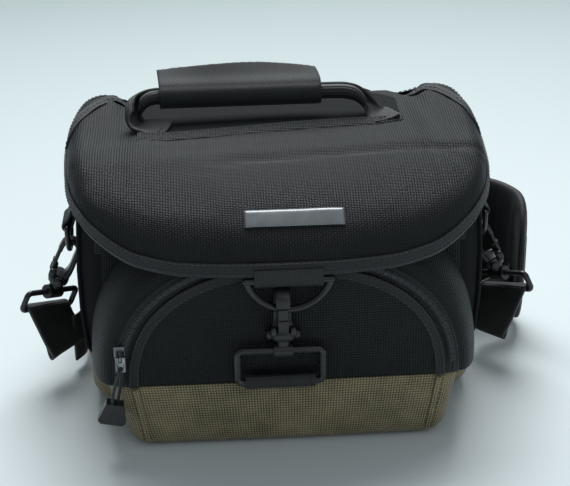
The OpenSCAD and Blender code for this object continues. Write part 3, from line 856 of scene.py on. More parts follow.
def edge_height(x, y):
    """Height of the lid's lower edge: low in front, rising along the sides and up over the rear corners."""
    places = np.array([-126, -118, -108, -96, -80, -60, -36, -5, 10, 25, 40, 52, 60]) * MM
    heights = np.array([127.0, 127.6, 131.5, 139.5, 147.5, 153, 156.5, 160, 163, 167.5, 172.5, 175.5, 176]) * MM
    low = float(np.interp(y, places, heights))
    back_z = 168.5 * MM
    corner = smoothstep((abs(x) - 93 * MM) / (20 * MM))
    return low if y < 40 * MM else back_z + (low - back_z) * corner


def fold_line(x):
    """Where the padded top breaks forward into the flap."""
    return -54 * MM + 0.10 * (x - 20 * MM)


def hump(t):
    """A bell of height 1 and half width about 1."""
    return math.exp(-(t ** 2))


def lid_relief(x, y):
    """Padded plateau on top, the fold in front of it, valleys beside it and the notches at the hinge."""
    dx = abs(x - 1 * MM) - 99 * MM
    dy = fold_line(x) - y
    plateau = 1.6 * MM / (1 + math.exp(dx / (2.6 * MM))) / (1 + math.exp(dy / (3.4 * MM)))
    fold = -2.6 * MM * hump(dy / (3.2 * MM)) / (1 + math.exp(-(x + 34 * MM) / (8 * MM)))
    valley = -3.2 * MM * hump((dx - 3 * MM) / (6 * MM)) * smoothstep((y + 40 * MM) / (70 * MM))
    notch = -5.0 * MM * hump((abs(x) - 97 * MM) / (8 * MM)) * hump((y - 63 * MM) / (11 * MM))
    swell = 0.9 * MM * math.sin(x * 23 + 1) * math.cos(y * 34 + x * 9)
    return plateau + fold + valley + notch + 6.0 * MM * ear(x, y) + swell + corner_creases(x, y)


def corner_creases(x, y):
    """Creases that fan out from the front corners of the padded top."""
    total = 0.0
    for cx, angles in ((-96 * MM, (200, 228, 255)), (96 * MM, (-20, -52, -80))):
        px, py = x - cx, y - fold_line(cx) - 6 * MM
        reach = hump((math.hypot(px, py) - 24 * MM) / (20 * MM))
        for k, degrees in enumerate(angles):
            c, s = math.cos(math.radians(degrees)), math.sin(math.radians(degrees))
            if px * c + py * s > 0:
                total -= (1.5 - 0.3 * k) * MM * reach * hump((py * c - px * s) / (2.6 * MM))
    return total


def lid_surface(x, y):
    """Height of the lid's top near its flat part."""
    return LID_TOP - 0.8 * MM + lid_relief(x, y)


def make_lid():
    """The padded hood, from the middle of its top out and down to its edge; returns its rows."""
    outer = lid_outline(0, LID_CY - LID_LO.y, 0.2 * MM, REAR_R - 6 * MM)
    flat = lid_outline(13 * MM, 22 * MM, 7 * MM, REAR_R - 12 * MM)
    centre = np.array([0.0, 0.012])
    rows = []
    for k in range(22):
        ring = centre + (flat - centre) * (0.02 + 0.98 * k / 22)
        rows.append([(x, y, lid_surface(x, y)) for x, y in ring])
    for k in range(25):
        t = math.pi / 2 * (1 - k / 24)
        reach = math.cos(t) ** 0.95
        row = []
        for (x0, y0), (x1, y1) in zip(flat, outer):
            run = math.hypot(x1 - x0, y1 - y0)
            depth = min(LID_TOP - edge_height(x1, y1), 9 * MM + 0.75 * run)
            x, y = x0 + (x1 - x0) * reach, y0 + (y1 - y0) * reach
            top = LID_TOP - 0.8 * MM + lid_relief(x, y) * (0.25 + 0.75 * math.sin(t))
            row.append((x, y, top - (depth - 0.8 * MM) * (1 - math.sin(t))))
        rows.append(row)
    brow = rows[-1]
    for k in range(1, 9):
        belly = 1.2 * MM * math.sin(math.pi * k / 8)
        rows.append([(x, y - belly if y < 0 else y, z + (edge_height(x, y) - z) * k / 8) for x, y, z in brow])
    rows = even_columns(np.array(rows), 22, 34)
    total, around = rows.shape[:2]
    lid = grid("lid_cloth", rows, close_u=True)
    lid_uv(lid)
    rumple(turn_outward(cap_smallest_ring(lid), (0, 0, 120 * MM)), 0.55 * MM, 30)
    settle(lid, lambda i, co: i // around > total - 13 or co[1] > -34 * MM, 2.4 * MM, pressure=4, slack=0.02)
    put(solidify(lid, 4.2 * MM, even=False), "lid", BLACK, "lid_shell")
    return rows


def even_columns(rows, first, count):
    """Spaces the rows after the first few evenly down each column."""
    columns = []
    for c in range(rows.shape[1]):
        run = arc_lengths(rows[first:, c])
        columns.append(along(rows[first:, c], run, np.linspace(0, run[-1], count)))
    return np.concatenate([rows[:first], np.stack(columns, axis=1)])


def rumple(obj, amount, scale):
    """Soft unevenness of padded cloth, along the mesh's own normals."""
    normals = [v.normal.copy() for v in obj.data.vertices]
    for v, normal in zip(obj.data.vertices, normals):
        at = v.co * scale
        v.co += normal * amount * (noise.noise(at) + 0.5 * noise.noise(at * 2.3))
    obj.data.update()


def lid_uv(lid):
    """The weave runs straight across the lid and follows the flap down over the front."""
    mesh = lid.data
    layer = mesh.uv_layers.active
    for poly in mesh.polygons:
        side = abs(poly.normal.x) > 0.8
        for k in poly.loop_indices:
            co = mesh.vertices[mesh.loops[k].vertex_index].co
            drop = (LID_TOP - co.z) * (1.0 if co.y < 0 else 0.2)
            layer.data[k].uv = (co.y, co.z) if side else (co.x, co.y - drop)


def climb_rim(rows, distance, offset):
    """Points on the lid, distance in mm up its surface from the rim and offset outwards, and the normals."""
    up = rows[::-1]
    normal = np.cross(np.roll(up, -1, axis=1) - np.roll(up, 1, axis=1), np.gradient(up, axis=0))
    normal /= np.linalg.norm(normal, axis=2)[:, :, None] + 1e-15
    normal *= np.sign((normal * (up - np.array([0, 0, 120 * MM]))).sum(2))[:, :, None]
    out = []
    for c in range(up.shape[1]):
        run = arc_lengths(up[:, c])
        direction = along(normal[:, c], run, distance * MM)
        direction /= np.linalg.norm(direction) + 1e-15
        out.append(along(up[:, c], run, distance * MM) + direction * offset * MM)
    return np.array(out), normal


def soften_rear(row):
    """Evens out a closed row of points round the hood's rear corners."""
    for _ in range(5):
        mean = (np.roll(row, 1, axis=0) + row + np.roll(row, -1, axis=0)) / 3
        share = np.clip((row[:, 1] - 35 * MM) / (10 * MM), 0, 1)[:, None]
        row = row * (1 - share) + mean * share
    return row


def make_lid_binding(rows):
    """Ribbed tape folded round the lid's lower edge, with its line of stitching, and the cuff inside."""
    outside = ((8.6, 0.3), (8.4, 1.0), (6.5, 1.2), (3.5, 1.2), (1.2, 1.2), (0.2, 0.9), (0.0, 0.2))
    band = [climb_rim(rows, *place)[0] for place in outside]
    band.append(band[-1] + [0, 0, -0.9 * MM])
    band += [climb_rim(rows, 0.0, offset)[0] + [0, 0, -1.0 * MM] for offset in (-2.5, -4.6)]
    band += [climb_rim(rows, *place)[0] for place in ((0.4, -5.5), (1.5, -6.0), (7.5, -6.0), (8.0, -5.3))]
    tape = grid("lid_binding_tape", [soften_rear(row) for row in band], close_u=True)
    transposed_uv(tape)
    put(fix_normals(tape), "lid", TAPE, "lid_binding")
    for k, distance in enumerate((1.6, 7.6)):
        line, normal = climb_rim(rows, distance, 1.25)
        sew(f"lid_binding_thread_{k}", soften_rear(line), normal[k * 3], "lid", closed=True)

    cuff = []
    for drop in (0.0, 0.35, 0.7, 1.0):
        row = []
        for x, y, z in rows[-1]:
            high, low = min(z - 2.5 * MM, 167.4 * MM), min(z - 3 * MM, 166.6 * MM)
            row.append((x * 0.945, y * 0.93 - 1 * MM, high + (low - high) * drop))
        cuff.append(row)
    inner = keep_part(grid("lid_inner_cuff", cuff, close_u=True), lambda c: c.y > -5 * MM)
    put(solidify(turn_outward(inner, (0, 0, 150 * MM)), 1.0 * MM), "lid", FINE)


def transposed_uv(obj):
    """Swaps u and v, so that ribs run along a band instead of across it."""
    layer = obj.data.uv_layers.active.data
    uv = np.zeros(len(layer) * 2, np.float32)
    layer.foreach_get("uv", uv)
    layer.foreach_set("uv", uv.reshape(-1, 2)[:, ::-1].ravel())


def panel_front(x):
    """Front edge of the smooth panel under the handle, a little askew and drawn back at its corners."""
    return -9 * MM + 0.11 * (x + 5 * MM) + 5 * MM * smoothstep((abs(x + 2 * MM) - 70 * MM) / (24 * MM))


def make_lid_details():
    """Smooth panel under the handle, its seam and the inner lining."""
    x0, x1, y1 = -94 * MM, 90 * MM, 56 * MM
    rows = []
    for j in range(27):
        row = []
        for i in range(51):
            x = x0 + (x1 - x0) * i / 50
            far = y1 - 15 * MM * smoothstep((abs(x + 2 * MM) - 72 * MM) / (22 * MM))
            y = panel_front(x) + (far - panel_front(x)) * j / 26
            edge = min(i, 50 - i, 26 - j)
            row.append((x, y, lid_surface(x, y) + (0.75 if edge else -0.6) * MM))
        rows.append(row)
    patch = planar_uv(grid("lid_smooth_panel", rows), 0, 1)
    put(turn_outward(patch, (0, 0, 0)), "lid", FINE)

    rows = []
    for back, lift in ((-9, 0.2), (-7, 1.2), (-4, 1.8), (0.0, 2.1), (1.6, 2.0), (2.2, 1.4), (2.3, 0.3)):
        row = []
        for i in range(61):
            x = x0 + 2 * MM + (x1 - x0 - 4 * MM) * i / 60
            y = panel_front(x) + back * MM
            row.append((x, y, lid_surface(x, y) + lift * MM))
        rows.append(row)
    hem = planar_uv(grid("lid_panel_hem", rows), 0, 1)
    put(turn_outward(hem, (0, 0, 0)), "lid", BLACK)
    line = np.array(rows[3])[1:-1] + [0, -2.2 * MM, 0.15 * MM]
    sew("lid_panel_thread", line, (0, 0, 1), "lid", length=2.2 * MM, pitch=3.2 * MM, radius=0.24 * MM)
    dress("lid_lining", LINING, 0.6 * MM)


def lid_tree():
    """The lid's cloth, for casting rays at."""
    mesh = bpy.data.objects["lid_cloth"].data
    return BVHTree.FromPolygons([v.co for v in mesh.vertices], [tuple(p.vertices) for p in mesh.polygons])


def make_badge():
    """A plain plate that follows the flap's curve."""
    lo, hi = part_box("lid_badge")
    normal, down = Vector((0, -1, 1)).normalized(), Vector((0, -1, -1)).normalized()
    tree = lid_tree()
    rows = []
    for b in np.linspace(-1, 1, 9):
        row = []
        for a in np.linspace(-1, 1, 41):
            start = (lo + hi) / 2 + Vector((a * 31 * MM, 0, 0)) + down * (b * 5.6 * MM) - normal * 60 * MM
            edge = 0.25 * MM if max(abs(a), abs(b)) > 0.99 else 0.0
            row.append(tree.ray_cast(start, normal)[0] + normal * (1.1 * MM - edge))
        rows.append(row)
    plate = turn_outward(grid("lid_badge_plate", rows), (0, 0, 120 * MM))
    put(solidify(plate, 1.4 * MM), "lid", BADGE, "lid_badge")


def make_ear_tapes():
    """Binding that climbs the hood's sides and runs over its two lifted rear corners."""
    tree = lid_tree()
    for s, side in SIDES:
        points, normals = [], []
        for k in range(25):
            t = k / 24
            a = math.radians(11 + 103 * min(1.0, t / 0.8))
            away = Vector((s * math.cos(a), 0, math.sin(a)))
            middle = Vector((s * (114 - 6 * max(0.0, t - 0.8) / 0.2), 2 + 47 * smoothstep(t / 0.7), 160)) * MM
            hit, normal = tree.ray_cast(middle + away * 90 * MM, -away)[:2]
            if hit is None or hit.x * s < 80 * MM:
                continue
            normal = normal if normal.dot(away) > 0 else -normal
            points.append(hit + normal * 0.7 * MM)
            normals.append(normal)
        line = smooth_curve(points, 90)
        normal = along(np.array(normals), range(len(normals)), np.linspace(0, len(normals) - 1, 90))
        tape = sweep(f"lid_ear_tape_{side}", line, round_profile(7 * MM, 1.4 * MM, 0.6 * MM), normal)
        put(tape, "lid", TAPE)
        sew(f"lid_ear_thread_{side}", line + normal * 0.8 * MM, normal, "lid")


# ---------------------------------------------------------------- hinge strip, chapes


def make_hinge_strip():
    """Cloth from the back of the body over to the lid's rear edge."""
    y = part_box("hinge_strip")[1].y + 0.1 * MM
    path = ((1.2, 122), (0, 126), (0, 150), (0, 170), (0, 178.2), (1.4, 180.6), (6, 181.2), (14, 181.0))
    rows = []
    for _, py, pz in smooth_curve([(0, y - forward * MM, z * MM) for forward, z in path], 40):
        rows.append([
            (x, py, pz - 9 * MM * smoothstep((abs(x) - 68 * MM) / (18 * MM))
             * smoothstep((pz - 160 * MM) / (20 * MM)))
            for x in np.linspace(-86 * MM, 86 * MM, 41)])
    strip = turn_outward(grid("hinge_cloth", rows), (0, 0, 100 * MM))
    set_thickness(strip, 0.9 * MM)
    paint(strip, FINE)
    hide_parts("hinge_strip")
    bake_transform(strip)
    for k, z in enumerate((126, 131)):
        line = np.array([(x, y + 0.35 * MM, z * MM) for x in np.linspace(-88 * MM, 88 * MM, 60)])
        sew(f"hinge_thread_{k}", line, (0, 1, 0))


def make_chape(s, side):
    """Webbing that comes out from under the lid, round the side ring's bar and back."""
    lo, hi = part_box(f"side_ring_{side}")
    bar_x, bar_y, bar_z = (lo.x + hi.x) / 2, (lo.y + hi.y) / 2, hi.z - WIRE_R
    wall = [(s * (BODY_HI.x + out * MM), z * MM) for out, z in ((4.2, 160), (4.4, 148), (4.1, 132), (3.6, 150))]
    path = wall[:2] + [(bar_x - s * 3.5 * MM, 130 * MM), (bar_x + s * 0.4 * MM, bar_z + 3.6 * MM)]
    for a in (60, 20, -20, -60, -100, -140):
        t = math.radians(a)
        path.append((bar_x + s * 3.1 * MM * math.cos(t), bar_z + 3.1 * MM * math.sin(t)))
    path += [(bar_x - s * 4.5 * MM, bar_z + 3 * MM)] + wall[2:]
    line = smooth_curve([(x, 0, z) for x, z in path], 90) + [0, bar_y, 0]
    normal = np.cross(tangents(line), [0, 1, 0])
    web = sweep(f"chape_{side}", line, round_profile(24 * MM, 1.5 * MM, 0.6 * MM), normal)
    put(web, "root", WEB, f"side_chape_{side}")


# ---------------------------------------------------------------- handle


def make_handle():
    """Two webs that come out of the grip as tubes and flatten where they are sewn to the lid."""
    cx, cy, cz = ((lo + hi) / 2 for lo, hi in zip(GRIP_LO, GRIP_HI))
    top, gz, gy = LID_TOP / MM, cz / MM, cy / MM
    left = [(-60, gy, gz), (-74, gy, gz), (-84, gy - 1, gz - 0.5), (-92, gy - 4, gz - 4), (-95.5, gy - 9, gz - 9),
            (-93, gy - 15, top + 3.6), (-86, gy - 19, top + 2.6), (-77, gy - 22, top + 2.3), (-72, gy - 24, top + 2.1)]
    right = [(24, gy, gz), (40, gy, gz), (50, gy, gz - 0.5), (58, gy - 1, gz - 3), (65, gy - 4, gz - 9),
             (69, gy - 8, top + 3.2), (73, gy - 12, top + 2.4), (76, gy - 17, top + 2.2), (77, gy - 19, top + 2.1)]
    for (s, side), points, outer_end in zip(SIDES, (left, right), (-93 * MM, 68 * MM)):
        line = smooth_curve(np.array(points) * MM, 80)
        t = tangents(line)
        roll = np.clip((np.linspace(0, 1, 80) - 0.45) / 0.4, 0, 1)[:, None]
        normal = np.cross(t, [0, 1, 0.001])
        normal[:, 2] = np.abs(normal[:, 2])
        normal = normal * (1 - roll) + np.array([0, -0.25, 1.0]) * roll
        rows = []
        for i in range(80):
            n = normal[i] - (normal[i] @ t[i]) * t[i]
            n /= np.linalg.norm(n)
            across = np.cross(t[i], n)
            flatness = roll[i] ** 1.2
            row = []
            for w in np.linspace(-1, 1, 17):
                a = w * math.pi * 0.88
                tube = across * 5.4 * MM * math.sin(a) - n * 4.4 * MM * math.cos(a)
                flat = across * w * 9.5 * MM + n * 1.2 * MM * (w * w - 0.4)
                row.append(line[i] + tube * (1 - flatness) + flat * flatness)
            rows.append(row)
        web = paint(thicken(grid(f"handle_web_{side}", rows), 2.4 * MM, 0.0), WEB)
        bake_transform(web)
        if s < 0:
            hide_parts("handle_webbing", "handle_anchors")
        across = np.cross(t[-4], [0, 0, 1]) * 6.5 * MM
        ends = ((-6, -1), (-6, 1), (-1, 1), (-1, -1), (-6, -1))
        corners = [line[k] + across * w + np.array([0, 0, 1.15 * MM]) for k, w in ends]
        box = [p + (q - p) * g for p, q in zip(corners, corners[1:]) for g in np.linspace(0, 1, 10, endpoint=False)]
        sew(f"handle_box_thread_{side}", box, (0, 0, 1), "lid", closed=True)


def make_grip():
    """The wrap: a sheet rolled round the handle, its outer layer rising in front and leaning back, cut raw."""
    cx, cy, cz = ((lo + hi) / 2 for lo, hi in zip(GRIP_LO, GRIP_HI))
    grip_half = (GRIP_HI.x - GRIP_LO.x) / 2
    r = (GRIP_HI.z - GRIP_LO.z) / 2 - 1.6 * MM
    rows = []
    for k in range(44):
        a = math.radians(60 - 330 * k / 43)
        rr = r + 0.9 * MM * (1 - k / 43)
        rows.append([
            (cx + f * grip_half, cy + rr * math.cos(a),
             cz + rr * math.sin(a) + 0.2 * MM * math.sin(f * 7 + k * 0.15))
            for f in np.linspace(-1, 1, 41)])
    put(thicken(grid("handle_grip_roll", rows), 1.6 * MM, 0.0), "handle", BLACK, "handle_grip")

    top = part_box("handle_wrap")[1].z - 1.0 * MM
    outer = r + 2.2 * MM
    section = arc_points(0, 0, outer, range(250, 119, -13))
    section += [(-2.2 * MM, outer + 1.0 * MM), (4.5 * MM, outer + 5.5 * MM), (11.0 * MM, top - cz)]
    rows = []
    for k, p in enumerate(smooth_curve([(0, y, z) for y, z in section], 46)):
        f = max(0.0, (k - 20) / 25)
        row = []
        for q in range(57):
            g = -1 + q / 28
            crest = (4.2 * g * g + (0.6 if g > 0 else -0.2) * abs(g) ** 3) * MM * f * f
            spread = 1.5 * MM * f if g < 0 else -3.2 * MM * f * f
            wave = 0.9 * MM * math.sin(g * 4.2 + 0.5) * f * f
            fray = 0.3 * MM * (rng.random() - 0.5) * (1 if k == 45 else 0)
            row.append((cx + g * (grip_half + 0.3 * MM) + g * spread, cy + p[1] + wave, cz + p[2] - crest + fray))
        rows.append(row)
    flap = turn_outward(grid("handle_wrap_flap", rows), (cx, cy + 100 * MM, cz))
    settle(flap, lambda i, co: i < 57 * 24, 2.5 * MM, slack=0.02)
    put(thicken(flap, 1.3 * MM), "wrap", TWILL, "handle_wrap")
    end = np.array([cx + grip_half, cy, cz])
    path = np.array([(-1, -6, 7), (5, -8, 8), (11, -7.5, 7.4), (14, -9, 8)]) * MM + end
    thread = sweep("handle_loose_thread", smooth_curve(path, 24), circle_profile(0.3 * MM, 6), (0, 0.2, 1))
    put(thread, "wrap", THREAD, slot="black_weave")


# ---------------------------------------------------------------- hooks, rings, loops


def hook_parts(name):
    """A moulded snap hook in its own frame: crook's centre at the origin, open towards -Y."""
    path = [(1.5, -25), (4.6, -20), (5.8, -14), (5.8, -6), (5.8, 0)]
    path += arc_points(0, 0, 5.8, (30, 60, 90, 120, 150)) + [(-5.9, -1.5), (-5.9, -3.9)]
    line = smooth_curve(np.array([(0, y, z) for y, z in path]) * MM, 64)
    f = np.linspace(0, 1, 64)
    wide = np.interp(f, [0, 0.2, 0.5, 0.8, 1], [1.5, 1.15, 1.0, 0.92, 0.85])
    thick = np.interp(f, [0, 0.25, 0.7, 1], [1.5, 1.1, 1.0, 0.95])
    normal = np.cross(tangents(line), [1, 0, 0])
    profile = round_profile(10.4 * MM, 3.3 * MM, 1.5 * MM)
    foot = ((-27.8, 13, 11.5, 4), (-27.2, 14.6, 13, 4.5), (-25, 15.8, 14.2, 4.5),
            (-22.6, 15.8, 14.4, 4.5), (-21.2, 14.6, 13.2, 4.2), (-20.7, 12.5, 11, 4))
    parts = [sweep(name + "_arm", line, profile, normal, scale=list(zip(wide, thick))),
             stack(name + "_foot", foot, lambda z, x, y: (x * MM, y * MM, z * MM))]
    ears = ((6.5, 7.5, 6.5, 2.6), (9.0, 7.6, 6.6, 2.6), (10.4, 6.6, 5.6, 2.6), (10.9, 4.5, 3.5, 2.6))
    cheeks = ((4.6, 4.6, 6.2, 2.0), (5.0, 5.2, 6.8, 2.0), (7.2, 5.2, 6.8, 2.0), (7.8, 4.4, 6.0, 2.0))
    for s, _ in SIDES:
        for kind, sections, back, down in (("ear", ears, 0, 24.6), ("cheek", cheeks, 5.2, 20.4)):
            parts.append(stack(f"{name}_{kind}{s}", sections,
                               lambda x, y, z: (s * x * MM, (y - back) * MM, (z - down) * MM)))
    return parts


def gate_parts(name):
    """The sprung gate: a curved blade with a thumb rib."""
    line = smooth_curve(np.array([(0, -5.5, -21.2), (0, -6.0, -17), (0, -6.15, -11), (0, -6.0, -4.7)]) * MM, 30)
    wide = np.interp(np.linspace(0, 1, 30), [0, 0.5, 1], [1.0, 0.95, 0.85])
    blade = sweep(name + "_blade", line, round_profile(7.4 * MM, 2.5 * MM, 1.1 * MM),
                  np.cross(tangents(line), [1, 0, 0]), scale=[(w, 1) for w in wide])
    rib = np.array([(-3, -7.5, -12.5), (0, -7.7, -12.5), (3, -7.5, -12.5)]) * MM
    return [blade, sweep(name + "_rib", rib, circle_profile(0.7 * MM, 8), (0, -1, 0))]


def place(parts, matrix, name):
    for part in parts:
        part.matrix_world = matrix
    bpy.context.view_layer.update()
    return join(name, parts)


def make_hook(tag, matrix, hook, gate, hook_piece, gate_piece):
    """One snap hook and its gate; the bodies have the names hook and gate."""
    nodes = ("latch_hook", "latch_gate") if tag == "front" else (hook, gate)
    put(place(hook_parts(tag), matrix, hook_piece), hook, PLASTIC, nodes[0])
    put(place(gate_parts(tag), matrix, gate_piece), gate, PLASTIC, nodes[1])


def make_hardware():
    crook = Vector(((HOOK_LO.x + HOOK_HI.x) / 2, BAR_Y, HOOK_HI.z - 7.4 * MM))
    make_hook("front", Matrix.Translation(crook), "hook", "gate", "latch_hook_body", "latch_gate_blade")
    for s, side in SIDES:
        lo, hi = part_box(f"side_ring_{side}")
        ring = Vector(((lo.x + hi.x) / 2, (lo.y + hi.y) / 2, lo.z + WIRE_R))
        leaning = Matrix.Rotation(math.radians(-s * HOOK_LEAN), 4, "Y")
        turned = leaning @ Matrix.Rotation(math.radians(s * 90), 4, "Z")
        matrix = Matrix.Translation(ring) @ turned @ Matrix.Translation((0, 0, -0.4 * MM))
        hook, gate = f"strap_hook_{side}", f"strap_gate_{side}"
        make_hook(side, matrix, hook, gate, hook + "_body", gate + "_blade")
        dress(f"strap_swivel_{side}", PLASTIC, 0.5 * MM)
        dress(f"side_ring_{side}", WIRE)
        dress(f"strap_loop_{side}", WIRE)
    dress("latch_swivel", PLASTIC, 0.6 * MM)
    dress("latch_ring", WIRE)
    dress("latch_loop", WIRE)
    dress("zip_slider", SLIDER, 0.35 * MM)
    dress("zip_pull", SLIDER, 0.3 * MM)
    dress("strap_adjuster", PLASTIC, 0.6 * MM)


def make_tab(name, node, body, bar, before, after):
    """Webbing that comes down to a bar, turns round it and goes back up; the ends are in mm from the bar."""
    lo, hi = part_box(node)
    path = [(BAR_Y + y * MM, bar + z * MM) for y, z in before]
    path += arc_points(BAR_Y, bar, 3.25 * MM, (180, 225, 270, 315, 350))
    path += [(BAR_Y + y * MM, bar + z * MM) for y, z in after]
    line = smooth_curve([((lo.x + hi.x) / 2, y, z) for y, z in path], 60)
    profile = round_profile(hi.x - lo.x - 1 * MM, 1.5 * MM, 0.6 * MM)
    put(sweep(name, line, profile, np.cross(tangents(line), [1, 0, 0])), body, WEB, node)


def make_tabs():
    """Webbing tabs that hold the latch's ring and its loop."""
    make_tab("latch_ring_tab_web", "lid_ring_tab", "lid", RING_HI.z - 2.7 * MM,
             [(-3.1, 9), (-3.4, 4)], [(3.0, 3.5), (1.0, 9)])
    face = (FACE_Y - BAR_Y) / MM
    make_tab("latch_loop_tab_web", "latch_tab", "pocket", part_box("latch_loop")[0].z + 2.4 * MM,
             [(-1.0, 4.6), (-2.6, 2.6)], [(3.6, -1.0), (face - 0.9, 0.8), (face - 1.0, 9)])


def make_cord():
    """Braided cord loop and its moulded end on the zip pull."""
    lo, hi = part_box("pull_cord")
    y = (lo.y + hi.y) / 2
    top = Vector((hi.x - 1.2 * MM, y, hi.z - 1.2 * MM))
    foot = Vector((lo.x + 1.0 * MM, y, lo.z + 1 * MM))
    points = []
    for s, _ in SIDES:
        strand = [
            foot + Vector((s * 1.5, s * 2.1, -1.5)) * MM,
            foot.lerp(top, 0.35) + Vector((s * 2.0, s * 2.3, 0)) * MM,
            foot.lerp(top, 0.75) + Vector((s * 1.2, s * 2.3, 0)) * MM,
            top + Vector((0, s * 2.0, 0.2)) * MM,
        ]
        points += strand[:: -s]
    cord = sweep("pull_cord_loop", smooth_curve(points, 90), circle_profile(1.05 * MM, 10), (0.3, 0.2, 0.9))
    put(cord, "cord", CORD, "pull_cord")
    dress("cord_end", PLASTIC, 0.9 * MM)


# ---------------------------------------------------------------- shoulder strap


def make_strap():
    """Each end of the strap: webbing sewn round the loop's lower bar, hanging, then running behind the bag."""
    lean, turn = math.radians(HOOK_LEAN), math.radians(45)
    plan_turn = math.atan2(math.cos(turn), math.sin(turn) * math.cos(lean))
    tilt = math.tan(math.asin(math.sin(turn) * math.sin(lean)))
    half_web = 18.5 * MM
    for s, side in SIDES:
        lo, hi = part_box(f"side_ring_{side}")
        start = Vector(((lo.x + hi.x) / 2, (lo.y + hi.y) / 2, lo.z + WIRE_R))
        bar = start + Vector((s * math.sin(lean), 0, -math.cos(lean))) * (50.8 * MM)
        inward = Vector((-s * math.cos(plan_turn), math.sin(plan_turn), 0))
        front = Vector((-s * math.sin(plan_turn), -math.cos(plan_turn), 0))
        sway = Vector((-s * 15 * MM, 0, 0))
        rows = []
        for q in range(17):
            w = (-1 + q / 8) * half_web
            centre = bar + inward * w
            centre.z -= w * tilt
            share = w / half_web
            bow = 1.4 * MM * math.sin(share * 1.7 + s)
            foot = 19 * MM + (2 if s < 0 else 1) * MM * share
            path = []
            for angle in (200, 150, 105, 60, 20):
                t = math.radians(angle)
                path.append(centre + front * 3.3 * MM * math.cos(t) + Vector((0, 0, 3.3 * MM * math.sin(t))))
            path.append(centre + sway * 0.2 + front * (3.3 * MM + bow * 0.3) - Vector((0, 0, 8 * MM)))
            for z, swing, ahead in ((31 * MM, 0.65, 2.9 * MM), (foot + 3 * MM, 1, 2.2 * MM), (foot, 1, 0.0),
                                    (foot + 4 * MM, 1, -2.2 * MM), (foot + 16 * MM, 0.9, -3.0 * MM)):
                path.append(Vector((centre.x, centre.y, z)) + sway * swing + front * (ahead + bow))
            rows.append(smooth_curve(path, 60))
        fold = settle(grid(f"strap_fold_{side}", rows), lambda i, co: i % 60 < 24, 1.5 * MM)
        put(thicken(fold, 2.2 * MM, 0.0), "strap", WEB)
        if s < 0:
            plan = [(146, -4), (140.5, 6), (139.5, 18), (140, 40), (140.5, 60), (137, 75), (128, 83), (120, 84),
                    (100, 84), (61, 84), (40, 82)]
            rise, tall = 23, 36
        else:
            plan = [(145, -4), (148, 4), (155, 10), (166, 17), (173, 27), (176, 38)]
            rise, tall = 34, 34
        line = smooth_curve([(s * x * MM, y * MM, rise * MM) for x, y in plan], 120)
        web = sweep(f"strap_web_{side}", line, round_profile(tall * MM, 2.0 * MM, 0.7 * MM),
                    np.cross(tangents(line), [0, 0, 1]))
        put(web, "strap", WEB, f"strap_webbing_{side}")


def make_pad():
    """The shoulder pad, standing behind the bag and curling round its right corner."""
    plan = [(-58, 84), (-20, 84), (40, 84), (90, 84), (118, 84), (146, 79), (168, 64), (179, 46), (181, 30),
            (178, 10)]
    count, around = 130, 44
    line = smooth_curve([(x * MM, y * MM, 0) for x, y in plan], count)
    out = np.cross(tangents(line), [0, 0, 1])
    low, high = PAD_LO.z, PAD_HI.z + 6 * MM
    mid, half = (low + high) / 2, (high - low) / 2
    thick = (PAD_HI.y - 84 * MM) * 0.96
    rows = []
    for i in range(count):
        f = i / (count - 1)
        end = min(f, 1 - f) / 0.13
        taper = 1.0 if end >= 1 else math.sqrt(max(0.0, 1 - (1 - end) ** 2))
        h = half * (0.42 + 0.58 * taper)
        d = thick * (0.35 + 0.65 * min(1.0, end * 1.4))
        row = []
        for q in range(around):
            a = 2 * math.pi * q / around
            c, s = math.cos(a), math.sin(a)
            w = d * math.copysign(abs(c) ** 0.75, c)
            row.append(line[i] + out[i] * w + np.array([0, 0, mid + h * math.copysign(abs(s) ** 0.45, s)]))
        rows.append(row)
    pad = close_holes(grid("shoulder_pad_cloth", rows, close_u=True))
    ends = around * 8
    settle(pad, lambda i, co: abs(co[2] - mid) > half * 0.88 or i < ends or i > around * count - ends,
           2.5 * MM, pressure=5)
    put(pad, "strap", PAD, "shoulder_pad")


# ---------------------------------------------------------------- dividers


def make_dividers():
    """Two padded dividers with rounded edges, a little fuller in the middle."""
    for _, side in SIDES:
        lo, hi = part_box(f"divider_{side}")
        cx, half_t, half_y = (lo.x + hi.x) / 2, (hi.x - lo.x) / 2, (hi.y - lo.y) / 2
        sections = []
        for f in (k / 23 for k in range(24)):
            pinch = math.sqrt(max(0.0, 1 - (1 - min(1.0, min(f, 1 - f) / 0.035)) ** 2))
            sections.append((f, 2 * half_y, 2 * half_t * (0.5 + 0.5 * pinch), half_t * 0.9))

        def bulged(f, y, x):
            swell = 0.6 * MM * math.sin(math.pi * f) * math.cos(y / half_y * math.pi / 2)
            return cx + x + math.copysign(swell, x), y, lo.z + (hi.z - lo.z) * f

        put(stack(f"divider_{side}_pad", sections, bulged), f"divider_{side}", LINING, f"divider_{side}")


# ---------------------------------------------------------------- stage


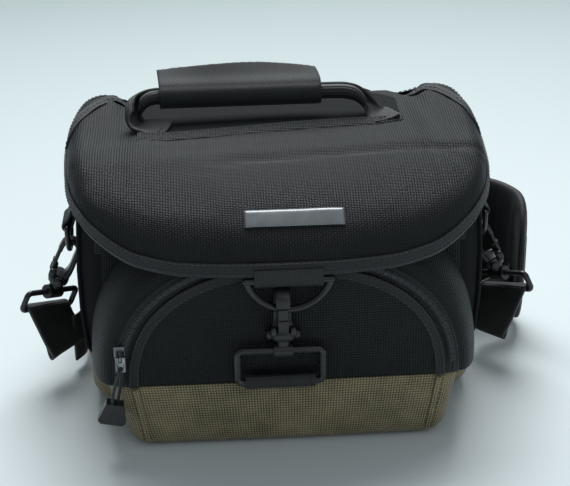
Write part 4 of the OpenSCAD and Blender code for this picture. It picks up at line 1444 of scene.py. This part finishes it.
def make_stage():
    """Pale floor that curves up into a backdrop, painted darker towards the back as shade, and soft lights."""
    profile = ((-3.0, 0), (-1.0, 0), (1.2, 0), (1.7, 0.02), (2.1, 0.14), (2.35, 0.4), (2.45, 0.8), (2.5, 2.6))
    line = smooth_curve([(0, y, z) for y, z in profile], 60)
    floor = grid("floor_sweep", [[(x, y, z - 0.4 * MM) for x in (-4, -1, 0, 1, 4)] for _, y, z in line])
    n = Nodes("floor_paint")
    # Painted shade: the sweep's colour grows darker from the front towards the back and up the backdrop; the faint
    # noise is the paper's own uneven tone.
    far = n.mul(n.add(n.split(n.position())[1], 0.15), 0.9, clamp=True)
    near_tone = n.mix(n.noise(3, 2), (0.70, 0.76, 0.78), (0.73, 0.79, 0.81))
    paint(floor, n.set(Base_Color=n.mix(far, near_tone, (0.30, 0.35, 0.355)), Roughness=0.75))

    world = bpy.data.worlds.new("soft_room")
    world.use_nodes = True
    background = world.node_tree.nodes["Background"].inputs
    background[0].default_value = (0.80, 0.88, 0.92, 1)
    background[1].default_value = 0.30
    bpy.context.scene.world = world

    for name, at, target, size, power, tint in (
        ("key", (0.05, 1.1, 1.75), (0, 0.05, 0.1), 1.5, 60, (0.96, 0.99, 1.0)),
        ("fill", (0.7, -1.6, 1.3), (0, 0, 0.1), 1.4, 4.0, (0.92, 0.97, 1.0)),
    ):
        data = bpy.data.lights.new(name, "AREA")
        data.size = size
        data.energy = power
        data.color = tint
        lamp = link_object(name, data)
        lamp.location = at
        lamp.rotation_euler = (Vector(target) - Vector(at)).to_track_quat("-Z", "Y").to_euler()


def make_camera():
    """The photograph's view: a long lens a metre away, 25 degrees up, and rolled by a degree."""
    data = bpy.data.cameras.new("camera")
    camera = link_object("camera", data)
    bpy.context.scene.camera = camera
    distance, elevation, azimuth, roll = 1.0, math.radians(25), math.radians(-3.0), math.radians(-1.0)
    back = Vector((math.sin(azimuth) * math.cos(elevation), -math.cos(azimuth) * math.cos(elevation),
                   math.sin(elevation)))
    aim = (-back).to_track_quat("-Z", "Y").to_matrix().to_4x4() @ Matrix.Rotation(roll, 4, "Z")
    camera.matrix_world = Matrix.Translation(Vector((0, 0, 0.1)) + back * distance) @ aim
    data.sensor_width = 36
    data.lens = 90
    data.shift_x = 0.0157895              # fractions of the frame's width
    data.shift_y = -0.0210526
    data.clip_start = 0.01
    bpy.context.scene.view_settings.view_transform = "Standard"


make_body()
make_piping()
make_gusset()
make_zip()
make_panel()
make_pocket_base()
make_lid_binding(make_lid())
make_lid_details()
make_badge()
make_ear_tapes()
make_hinge_strip()
for s, side in SIDES:
    make_chape(s, side)
make_handle()
make_grip()
make_hardware()
make_tabs()
make_cord()
make_strap()
make_pad()
make_dividers()
make_stage()
make_camera()
